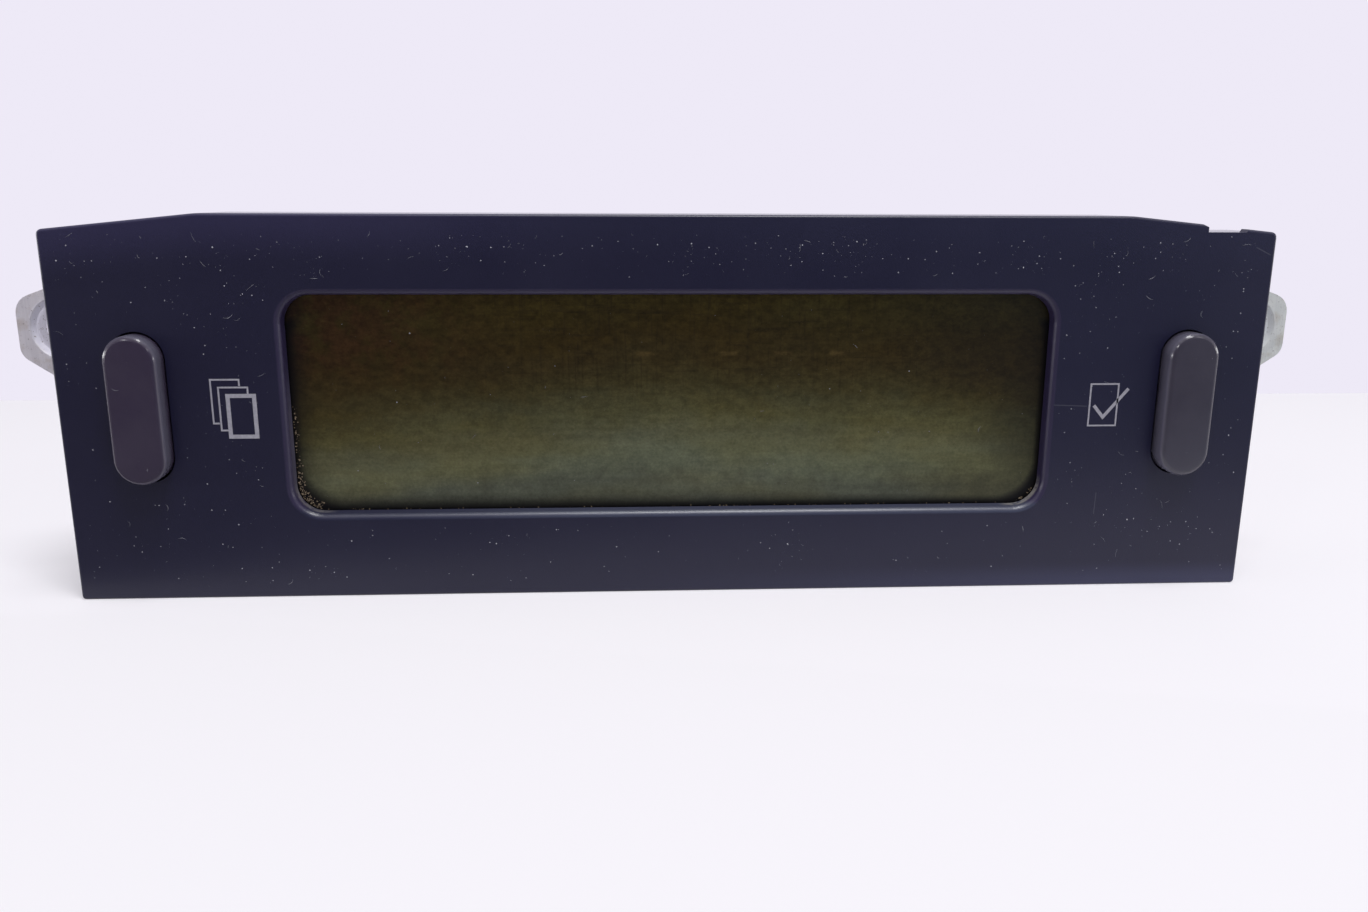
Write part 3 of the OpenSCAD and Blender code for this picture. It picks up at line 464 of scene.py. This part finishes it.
def zinc_steel():
    """Zinc-plated sheet: fine rolling lines and dull spangle, browned in patches and flecked with dirt.

    The seat round the ear's hole is cleaner, and the right bracket has a greener tint of painted
    reflection.
    """
    f = Finish("zinc_steel")
    x, _, z = f.axes()
    rolling = f.noise((0.25, 0.25, 9.0), 3.0, 0.7)
    spangle = f.grey(f.cells(2.2, "Color"))
    cloud = f.noise(5, 3.0, 0.6)
    colour = f.ramp(0.5 * rolling + 0.15 * spangle + 0.35 * cloud, (0.25, ZINC_DULL), (0.7, ZINC_BRIGHT))
    from_hole = ((abs(x) - EAR_HOLE_X) ** 2.0 + (z - EAR_HOLE_Z) ** 2.0) ** 0.5
    in_seat = from_hole.rise(SEAT_R + 0.4, SEAT_R - 0.4)
    browned = f.noise(2.6, 3.0, 0.6).rise(0.45, 0.68)
    colour = f.blend(browned * (0.5 - 0.4 * in_seat), colour, ZINC_BROWN)
    colour = f.blend(in_seat * 0.4, colour, ZINC_SEAT)
    flecks = f.noise(0.42, 2.0, 0.6).rise(0.62, 0.72)
    colour = f.blend(flecks * (0.4 + 0.4 * in_seat), colour, ZINC_FLECK)
    # Painted reflection: the right bracket is tinted greener
    f.set("Base Color", f.blend(x.rise(-50, 50), colour, f.blend(1.0, colour, RIGHT_REFLECTION_TINT, "MULTIPLY")))
    f.set("Metallic", 0.85)
    f.set("Roughness", 0.38 + 0.2 * cloud + 0.25 * in_seat * from_hole.rise(3.6, 4.2))
    f.set("Normal", f.bump(rolling, 0.01))
    return f.material


def clouded(f, cloud, colour):
    """A colour that noise dims by up to a fifth."""
    return f.ramp(cloud, (0.3, tuple(0.8 * share for share in colour)), (0.7, colour))


def moulded(name, colour, roughness=0.55, grain_size=0.3, grain_depth=0.02):
    """Plain moulded plastic with a fine grain and cloudy gloss."""
    f = Finish(name, IOR=1.5)
    cloud = f.noise(12, 3.0, 0.6)
    f.set("Base Color", clouded(f, cloud, colour))
    f.set("Roughness", roughness + 0.12 * (cloud - 0.5))
    f.set("Normal", f.bump(f.noise(grain_size), grain_depth))
    return f.material


def plain_metal(name, colour, roughness=0.35):
    """Plated or drawn metal with a soft, uneven gloss."""
    f = Finish(name)
    cloud = f.noise(1.5, 3.0, 0.6)
    f.set("Base Color", clouded(f, cloud, colour))
    f.set("Metallic", 0.9)
    f.set("Roughness", roughness + 0.15 * (cloud - 0.5))
    f.set("Normal", f.bump(f.noise(0.2), 0.006))
    return f.material


# Spacing of the tracks, and the part of it that a track takes up
TRACK_PITCH, TRACK_SHARE = 1.27, 0.35


def board_green():
    """Solder mask over copper: paler tracks on a square grid, broken up by noise."""
    f = Finish("board_green", IOR=1.5)
    x, _, z = f.axes()
    across, upright = ((axis / TRACK_PITCH).part() < TRACK_SHARE for axis in (z, x))
    tracks = upright.top(across) * (f.noise(4) > 0.5)
    f.set("Base Color", f.blend(tracks, (0.008, 0.062, 0.026), (0.014, 0.11, 0.045)))
    f.set("Roughness", 0.38)
    f.set("Normal", f.bump(tracks, 0.03))
    return f.material


def matt(name, dark, pale, patch, roughness, detail=2.0, ior=1.4):
    """A dull finish that goes between two colours in patches of this size in millimetres."""
    f = Finish(name, IOR=ior)
    f.set("Base Color", f.ramp(f.noise(patch, detail), (0.3, dark), (0.7, pale)))
    f.set("Roughness", roughness)
    return f.material


BLACK = (0.012, 0.012, 0.013)
finishes = {
    "panel_plastic": panel_plastic(),
    "key_plastic": key_plastic(),
    "housing_plastic": moulded("housing_plastic", BLACK),
    "connector_plastic": moulded("connector_plastic", (0.016, 0.016, 0.017), 0.5),
    "foam": moulded("foam", (0.006, 0.006, 0.006), 0.9, 0.25, 0.08),
    "polariser_film": lcd_face(),
    "lcd_glass": moulded("lcd_glass", (0.10, 0.11, 0.07), 0.1, 2.0, 0.0),
    "white_plastic": moulded("white_plastic", (0.75, 0.75, 0.73), 0.5),
    "clear_plastic": moulded("clear_plastic", (0.55, 0.6, 0.62), 0.15, 1.0, 0.002),
    "lamp_plastic": moulded("lamp_plastic", (0.7, 0.66, 0.4), 0.3, 0.5, 0.004),
    "circuit_board": board_green(),
    "chip_plastic": moulded("chip_plastic", (0.018, 0.018, 0.019), 0.45, 0.15, 0.01),
    "aluminium_can": plain_metal("aluminium_can", (0.72, 0.72, 0.72), 0.3),
    "contact_metal": plain_metal("contact_metal", (0.72, 0.62, 0.38), 0.25),
    "zinc_steel": zinc_steel(),
    "screw_steel": plain_metal("screw_steel", (0.55, 0.53, 0.47), 0.35),
}
for row in frame["record"]["subparts"]:
    solid = frame["nodes"][row["node"]]
    solid.data.materials.clear()
    solid.data.materials.append(finishes[row["material_slot"]])

# What lies on the solids: the symbols' pale ink, dust and lint, and crumbs of old dirt
printed_ink = matt("printed_ink", (0.26, 0.255, 0.295), (0.33, 0.325, 0.37), 0.5, 0.6, ior=1.45)
fluff = matt("fluff", (0.20, 0.20, 0.23), (0.50, 0.51, 0.56), 0.6, 0.9)
grime = matt("grime", (0.035, 0.024, 0.017), (0.30, 0.235, 0.16), 0.4, 0.95, detail=3.0)


# Meshes

def mesh_object(name, points, faces, material, smooth=False):
    """An object at the origin, made of an array of points and lists of faces, with one material."""
    mesh = bpy.data.meshes.new(name)
    mesh.from_pydata(points, [], faces, shade_flat=not smooth)
    mesh.materials.append(material)
    piece = bpy.data.objects.new(name, mesh)
    bpy.context.scene.collection.objects.link(piece)
    return piece


def riding_piece(name, points, faces, material, body="chassis", smooth=False):
    """A new piece of the object, riding on a body."""
    piece = mesh_object(name, points, faces, material, smooth)
    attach(piece, body)
    return piece


def quads(grid):
    """The four-sided faces between neighbouring rows and columns of a grid of point numbers."""
    here, ahead = grid[..., :-1, :], grid[..., 1:, :]
    corners = [here[..., :-1], here[..., 1:], ahead[..., 1:], ahead[..., :-1]]
    return np.stack(corners, axis=-1).reshape(-1, 4).tolist()


def skin(rings, closed=False):
    """Faces over rings of points carried along paths: quads from ring to ring, and a cap on each end.

    rings holds the points' numbers by path, ring and place in the ring. A ring's points run clockwise as
    seen from its path's start, so that the faces point outwards. A closed path has no caps.
    """
    around = np.concatenate([rings, rings[..., :1]], axis=-1)
    if closed:
        return quads(np.concatenate([around, around[:, :1]], axis=1))
    return quads(around) + np.vstack([rings[:, 0, ::-1], rings[:, -1]]).tolist()


# The printed symbols: the ink's thickness on each side of the panel's face, the widths of the lines and of
# the tick, the height of a page and of the box, and the width of each
INK = 0.015
THIN, THICK, TICK = 0.26, 0.62, 0.52
PAGE_H, PAGE_W, BOX_W = 7.0, 4.6, 4.75


def stroke(path, width, closed=False):
    """A pen stroke: each side of the path, in X and Z, is half the width away, mitred at the corners.

    The mitre at a corner is the sum of the two lines' sideways directions, over 1 and their dot product.
    """
    path = np.array(path, float)
    before, after = np.roll(path, 1, axis=0), np.roll(path, -1, axis=0)
    if not closed:
        before[0] = 2 * path[0] - path[1]
        after[-1] = 2 * path[-1] - path[-2]
    along_in = (path - before) / np.linalg.norm(path - before, axis=1)[:, None]
    along_out = (after - path) / np.linalg.norm(after - path, axis=1)[:, None]
    side_in = np.column_stack([-along_in[:, 1], along_in[:, 0]])
    side_out = np.column_stack([-along_out[:, 1], along_out[:, 0]])
    mitre = (side_in + side_out) / (1 + np.sum(side_in * side_out, axis=1))[:, None]
    return path + mitre * width / 2, path - mitre * width / 2


def printed(name, strokes):
    """Strokes as one thin layer of ink, half of it proud of the panel's face.

    Each is a flat bar: a section of four corners, at the stroke's two sides in front and then behind,
    carried along its path.
    """
    points, faces, start = [], [], 0
    for path, width, closed in strokes:
        left, right = stroke(path, width, closed)
        across, upright = np.stack([left, right, right, left], axis=1).transpose(2, 0, 1)
        depth = np.broadcast_to((-INK, -INK, INK, INK), across.shape)
        points.append(np.stack([across, depth, upright], axis=-1).reshape(-1, 3))
        faces += skin(start + np.arange(across.size).reshape(1, -1, 4), closed)
        start += across.size
    return riding_piece(name, np.vstack(points) * MM + (0, FACE_Y, 0), faces, printed_ink)


def outline(left, low, wide, high, width):
    """The middle of the line round a box, from the box's outer edges and the line's width."""
    edge = width / 2
    return [(left + edge, low + edge), (left + wide - edge, low + edge),
            (left + wide - edge, low + high - edge), (left + edge, low + high - edge)]


printed("symbol_pages", [
    ([(-70.0, 28.4), (-70.9, 28.4), (-70.9, 35.2), (-66.6, 35.2), (-66.6, 34.2)], THIN, False),
    ([(-68.8, 27.3), (-69.8, 27.3), (-69.8, 34.0), (-65.4, 34.0), (-65.4, 33.0)], THIN, False),
    (outline(-68.8, 26.0, PAGE_W, PAGE_H, THICK), THICK, True),
])
printed("symbol_ticked_box", [
    (outline(66.35, 27.0, BOX_W, PAGE_H, THIN), THIN, True),
    ([(67.2, 30.4), (68.8, 28.5), (72.6, 33.1)], TICK, False),
])


# Where dust and lint lie on the panel's face, in millimetres, and what they leave free round the window and
# the keys
DUSTY_X, DUSTY_LOW, DUSTY_HIGH = 92, 1.5, 57
OFF_WINDOW_X, OFF_WINDOW_LOW, OFF_WINDOW_HIGH = 61.5, 11.5, 50.5
KEY_X, OFF_KEY_X, OFF_KEY_LOW, OFF_KEY_HIGH = 81.5, 5.5, 17, 45

# Their height is DRAW_TOP less DRAW_FALL times a power of a random number. Beyond END_X the power is lower,
# so that they lie more evenly. The places in a cluster spread by CLUSTER_SPREAD
DRAW_TOP, DRAW_FALL = 58, 56
END_X, MIDDLE_POWER, END_POWER = 70, 1.9, 1.3
CLUSTER_SPREAD = 1.6

# How far from the window's edge they keep on the LCD, and how far a fibre stands off what it lies on
FILM_MARGIN = 2
FIBRE_LIFT = 0.02

# A fibre's points, its shortest and longest length, the spread of its turn in radians, its thinnest and
# thickest radius, and how far along a half wave its blunt end is
FIBRE_POINTS = 8
FIBRE_LENGTHS, FIBRE_CURL, FIBRE_RADII, BLUNT = (0.3, 1.8), 1.4, (0.009, 0.020), 0.15

# Each key's fibres, from the key's middle in X and Z, and how far behind its foremost line they lie
KEY_FIBRES = {"left_key": [(1.4, -8.6), (-1.6, 3.5)], "right_key": [(-1.5, 5.0)]}
CROWN_FALL = 0.024


def on_face(count, random, together=0.0):
    """Random places on the panel's face, clear of the window and keys, thicker towards the top.

    A share of them, together, lies close to one of the places before it.
    """
    places = []
    while len(places) < count:
        x = random.uniform(-DUSTY_X, DUSTY_X)
        z = DRAW_TOP - DRAW_FALL * random.random() ** (MIDDLE_POWER if abs(x) < END_X else END_POWER)
        if places and random.random() < together:
            x, z = np.array(places[random.integers(len(places))]) + random.normal(0, CLUSTER_SPREAD, 2)
        on_panel = abs(x) < DUSTY_X and DUSTY_LOW < z < DUSTY_HIGH
        by_window = abs(x) < OFF_WINDOW_X and OFF_WINDOW_LOW < z < OFF_WINDOW_HIGH
        by_key = abs(abs(x) - KEY_X) < OFF_KEY_X and OFF_KEY_LOW < z < OFF_KEY_HIGH
        if on_panel and not by_window and not by_key:
            places.append((x, z))
    return np.array(places)


def on_lcd(count, random):
    """Random places on the LCD, a little way in from the window's edge."""
    reach = (WINDOW_HALF.x - FILM_MARGIN, WINDOW_HALF.z - FILM_MARGIN)
    return random.uniform(-1, 1, (count, 2)) * reach + (WINDOW_MIDDLE.x, WINDOW_MIDDLE.z)


def tubes(paths, radii, sides=5):
    """Fibres: rings of this many sides stand square to the paths, and are widest half-way along.

    A ring's point is path + r (cos a first + sin a second): first and second are square to the path and to
    each other, a goes once round, and r follows half a sine wave from blunt end to blunt end.
    """
    along = np.gradient(paths, axis=1)
    along /= np.linalg.norm(along, axis=-1, keepdims=True)
    first = np.cross(along, (0.0, 1.0, 0.0))
    first /= np.linalg.norm(first, axis=-1, keepdims=True)
    second = np.cross(along, first)
    angle = np.arange(sides)[:, None] * TURN / sides
    ring = np.cos(angle) * first[:, :, None] + np.sin(angle) * second[:, :, None]
    radius = radii[:, None] * np.sin(np.linspace(BLUNT, math.pi - BLUNT, paths.shape[1]))
    points = paths[:, :, None] + radius[:, :, None, None] * ring
    return points.reshape(-1, 3), skin(np.arange(points[..., 0].size).reshape(points.shape[:3]))


def fibres(name, places, depths, random, body="chassis"):
    """Short curled fibres: arcs whose heading turns steadily, each flat at its depth.

    An arc's point is its place plus the running sum of (cos heading, sin heading) times the step.
    """
    drawn = np.array([(random.uniform(*FIBRE_LENGTHS), random.uniform(0, TURN),
                       random.normal(0, FIBRE_CURL), random.uniform(*FIBRE_RADII)) for _ in places])
    length, heading, curl, radius = drawn.T[:, :, None]
    angle = heading + curl * np.linspace(0, 1, FIBRE_POINTS)
    step = length / (FIBRE_POINTS - 1)
    x = places[:, :1] + np.cumsum(np.cos(angle), axis=1) * step
    z = places[:, 1:] + np.cumsum(np.sin(angle), axis=1) * step
    y = np.broadcast_to(depths[:, None], x.shape)
    points, faces = tubes(np.stack([x, y, z], axis=-1) * MM + (0, FACE_Y, 0), radius[:, 0] * MM)
    return riding_piece(name, points, faces, fluff, body, smooth=True)


def lint():
    """Fibres on the panel's face, on the LCD and on each key, where they ride with the key.

    A key's front is crowned, so its fibres lie to one side of its middle, a hair behind its foremost line.
    """
    random = np.random.default_rng(11)
    counts = 70, 9
    places = np.vstack([on_face(counts[0], random), on_lcd(counts[1], random)])
    fibres("lint", places, np.repeat([0.0, FILM_DEPTH], counts) - FIBRE_LIFT, random)
    for key, offsets in KEY_FIBRES.items():
        key_low, key_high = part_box(key)
        middle = (key_low + key_high) / 2 / MM
        depths = np.full(len(offsets), (key_low.y - FACE_Y) / MM + CROWN_FALL)
        fibres(key + "_lint", np.array(offsets) + (middle.x, middle.z), depths, random, key)


def grains(name, places, sizes, depths, material, random):
    """Crumbs: an octahedron at each place, half as deep as wide, each corner moved in or out at random."""
    corners = np.array([(1, 0, 0), (-1, 0, 0), (0, 1, 0), (0, -1, 0), (0, 0, 1), (0, 0, -1)], float)
    sides = np.array([(0, 2, 4), (2, 1, 4), (1, 3, 4), (3, 0, 4),
                      (2, 0, 5), (1, 2, 5), (3, 1, 5), (0, 3, 5)])
    reach = sizes[:, None, None] * random.uniform(0.6, 1.3, (len(places), len(corners), 1))
    middles = np.column_stack([places[:, 0], depths, places[:, 1]])
    points = (corners * reach * (1, 0.5, 1) + middles[:, None]) * MM + (0, FACE_Y, 0)
    faces = len(corners) * np.arange(len(places))[:, None, None] + sides
    return riding_piece(name, points.reshape(-1, 3), faces.reshape(-1, 3).tolist(), material)


def dust():
    """Specks on the panel's face, some in clusters, and on the LCD: most are small, and a few larger."""
    random = np.random.default_rng(5)
    counts = 1000, 110
    places = np.vstack([on_face(counts[0], random, together=0.3), on_lcd(counts[1], random)])
    sizes = 0.024 + 0.11 * random.random(len(places)) ** 4
    return grains("dust", places, sizes, np.repeat([0.0, FILM_DEPTH], counts), fluff, random)


def corner_grime():
    """Crumbs of old dirt at the foot of the window's walls, thickest in the lower left corner.

    In a corner a crumb lies at an angle on its arc, and elsewhere some way along a wall; each is a
    little way in from the wall.
    """
    random = np.random.default_rng(3)
    in_left, in_right, by_left, by_foot = 130, 16, 70, 60
    corner_left, corner_right = WINDOW_LEFT + WINDOW_R, WINDOW_RIGHT - WINDOW_R
    corner_up = WINDOW_LOW + WINDOW_R

    def in_corner(count, x, first, last, spread):
        """Places in a corner whose arc is round this X, between two angles in degrees."""
        angle = np.radians(random.uniform(first, last, count))
        reach = WINDOW_R - 0.12 - np.abs(random.normal(0, spread, count))
        return np.column_stack([x + np.cos(angle) * reach, corner_up + np.sin(angle) * reach])

    up_wall = corner_up + 13 * random.random(by_left) ** 1.6
    places = np.vstack([
        in_corner(in_left, corner_left, 172, 262, 0.55), in_corner(in_right, corner_right, 280, 345, 0.16),
        np.column_stack([WINDOW_LEFT + 0.1 + np.abs(random.normal(0, 0.45, by_left)), up_wall]),
        np.column_stack([random.uniform(corner_left, corner_right, by_foot),
                         WINDOW_LOW + np.abs(random.normal(0, 0.08, by_foot))])])
    sizes = random.uniform(0.04, 0.17, len(places))
    return grains("corner_grime", places, sizes, FILM_DEPTH - sizes / 3, grime, random)


lint()
dust()
corner_grime()


# The studio

# The table's colour, and the parts of its paleness, where it is seen or mirrored, that are colour and glow
TABLE_PALE = (0.84, 0.825, 0.87)
TABLE_COLOUR, TABLE_GLOW = (0.504, 0.495, 0.522), (0.355, 0.345, 0.365)
# What the panel mirrors: the far and near part of the card on the left, on the right and at the right end
FAR_LEFT, FAR_RIGHT, FAR_END = (0.14, 0.125, 0.17), (0.13, 0.14, 0.18), (0.26, 0.29, 0.38)
NEAR_LEFT, NEAR_RIGHT, NEAR_END = (0.20, 0.18, 0.21), (0.36, 0.39, 0.42), (0.64, 0.74, 0.88)
# The world's light on the object, and what is seen or mirrored of it
FILL, FILL_STRENGTH = (0.95, 0.93, 1.0), 0.22
SURROUND = (0.855, 0.82, 0.93)

# The camera's place from the middle of the panel's foot, in millimetres, and its axes
PHOTO_WIDE, FOCAL_PIXELS = 1368, 1100
CAMERA_PLACE = (-7.908, -169.347, 63.152)
CAMERA_RIGHT = (0.99850646, -0.05445353, 0.00443384)
CAMERA_UP = (0.00834209, 0.23216437, 0.9726408)
CAMERA_AHEAD = (0.05399311, 0.97115113, -0.23227188)


def stage_piece(name, points, faces, material):
    """A piece of the studio."""
    piece = mesh_object(name, points, faces, material)
    return piece


def table_top():
    """A pale, plain board that ends a little way behind the object and in front of the camera.

    Where it is seen or mirrored, a part of its paleness is its own, so that its shadows are light.
    """
    f = Finish("table_top", Roughness=0.85)
    seen = f.seen()
    f.set("Base Color", f.blend(seen, TABLE_PALE, TABLE_COLOUR))
    f.set("Emission Color", f.blend(seen, (0.0, 0.0, 0.0), TABLE_GLOW))
    f.set("Emission Strength", 1.0)
    f.material.cycles.emission_sampling = "NONE"
    back, front, side = FACE_Y + 0.176, FACE_Y - 0.30, 0.6
    corners = [(-side, front, 0), (side, front, 0), (side, back, 0), (-side, back, 0)]
    return stage_piece("table_top", corners, [(0, 1, 2, 3)], f.material)


def front_card():
    """A card seen only in reflections, for a dim room: it lies on the table, then stands up.

    It is paler near the panel and towards the right. Its section has three points, near the panel, at its
    far foot and at its top, and is carried across X.
    """
    f = Finish("front_card", Roughness=1.0)
    x, y, _ = f.axes()
    right, end = x.rise(-220, 220), x.rise(112, 175)
    far = f.blend(end * 0.8, f.blend(right, FAR_LEFT, FAR_RIGHT), FAR_END)
    near = f.blend(end * 0.5, f.blend(right, NEAR_LEFT, NEAR_RIGHT), NEAR_END)
    f.set("Base Color", (0.0, 0.0, 0.0))
    f.set("Emission Color", f.blend((y - FACE_Y / MM).rise(-140, -30), far, near))
    f.set("Emission Strength", 1.0)
    f.material.cycles.emission_sampling = "NONE"
    side, back, top, lift = 0.45, FACE_Y - 0.30, 0.24, 0.0005
    across, gap = np.array([(-side, 0.004), (-0.09, 0.006), (0.09, 0.048), (side, 0.060)]).T
    sections = np.zeros((len(across), 3, 3))
    sections[:, :, 0] = across[:, None]
    sections[:, :, 1] = np.column_stack([FACE_Y - gap, np.full((len(across), 2), back)])
    sections[:, :, 2] = lift, lift, top
    numbers = np.arange(sections[..., 0].size).reshape(sections.shape[:2])
    card = stage_piece("front_card", sections.reshape(-1, 3), quads(numbers), f.material)
    card.visible_camera = False
    card.visible_diffuse = False
    card.visible_transmission = False
    card.visible_shadow = False
    return card


def room():
    """The world: a pale surround where it is seen or mirrored, and an even fill elsewhere."""
    world = bpy.data.worlds.new("room")
    bpy.context.scene.world = world
    world.use_nodes = True
    world.node_tree.nodes.clear()
    n = Nodes(world.node_tree)
    fill = n.node("ShaderNodeBackground", {}, {"Color": FILL, "Strength": FILL_STRENGTH})
    surround = n.node("ShaderNodeBackground", {}, {"Color": SURROUND, "Strength": 1.0})
    both = n.node("ShaderNodeMixShader", {}, {0: n.seen(), 1: fill, 2: surround})
    n.feed(world.node_tree.nodes.new("ShaderNodeOutputWorld").inputs["Surface"], both)


def lamp(name, place, aim, wide, high, power):
    """A softbox at a place, turned to aim at a point."""
    light = bpy.data.lights.new(name, "AREA")
    light.shape = "RECTANGLE"
    light.size = wide
    light.size_y = high
    light.energy = power
    piece = bpy.data.objects.new(name, light)
    piece.location = place
    piece.visible_camera = False
    piece.rotation_euler = (Vector(aim) - Vector(place)).to_track_quat("-Z", "Y").to_euler()
    bpy.context.scene.collection.objects.link(piece)


def camera():
    """The photograph's camera: its place and axes were worked out from the panel's corners in the photo."""
    across, upright, ahead = (Vector(axis) for axis in (CAMERA_RIGHT, CAMERA_UP, CAMERA_AHEAD))
    data = bpy.data.cameras.new("camera")
    data.lens = FOCAL_PIXELS / PHOTO_WIDE * data.sensor_width
    data.clip_start = 0.01
    piece = bpy.data.objects.new("camera", data)
    turned = Matrix((across, upright, -ahead)).transposed().to_4x4()
    piece.matrix_world = Matrix.Translation(Vector(CAMERA_PLACE) * MM + Vector((0, FACE_Y, 0))) @ turned
    bpy.context.scene.collection.objects.link(piece)
    bpy.context.scene.camera = piece


table_top()
front_card()
room()
lamp("softbox", (0.13, -0.28, 1.0), (0, 0, 0), 0.30, 0.48, 8.2)
lamp("ceiling", (0.05, -0.20, 1.0), (0, 0, 0), 1.2, 1.2, 1.6)
lamp("left_wall", (-0.95, -0.05, 0.11), (0, -0.05, 0.03), 0.8, 0.14, 2.9)
lamp("right_wall", (0.95, -0.05, 0.11), (0, -0.05, 0.03), 0.8, 0.14, 1.8)
lamp("left_front", (-0.50, -0.70, 0.60), (0, 0, 0.03), 0.08, 0.08, 0.4)
lamp("right_front", (0.60, -0.62, 0.60), (0, 0, 0.03), 0.08, 0.08, 0.4)
camera()
bpy.context.scene.view_settings.view_transform = "Standard"
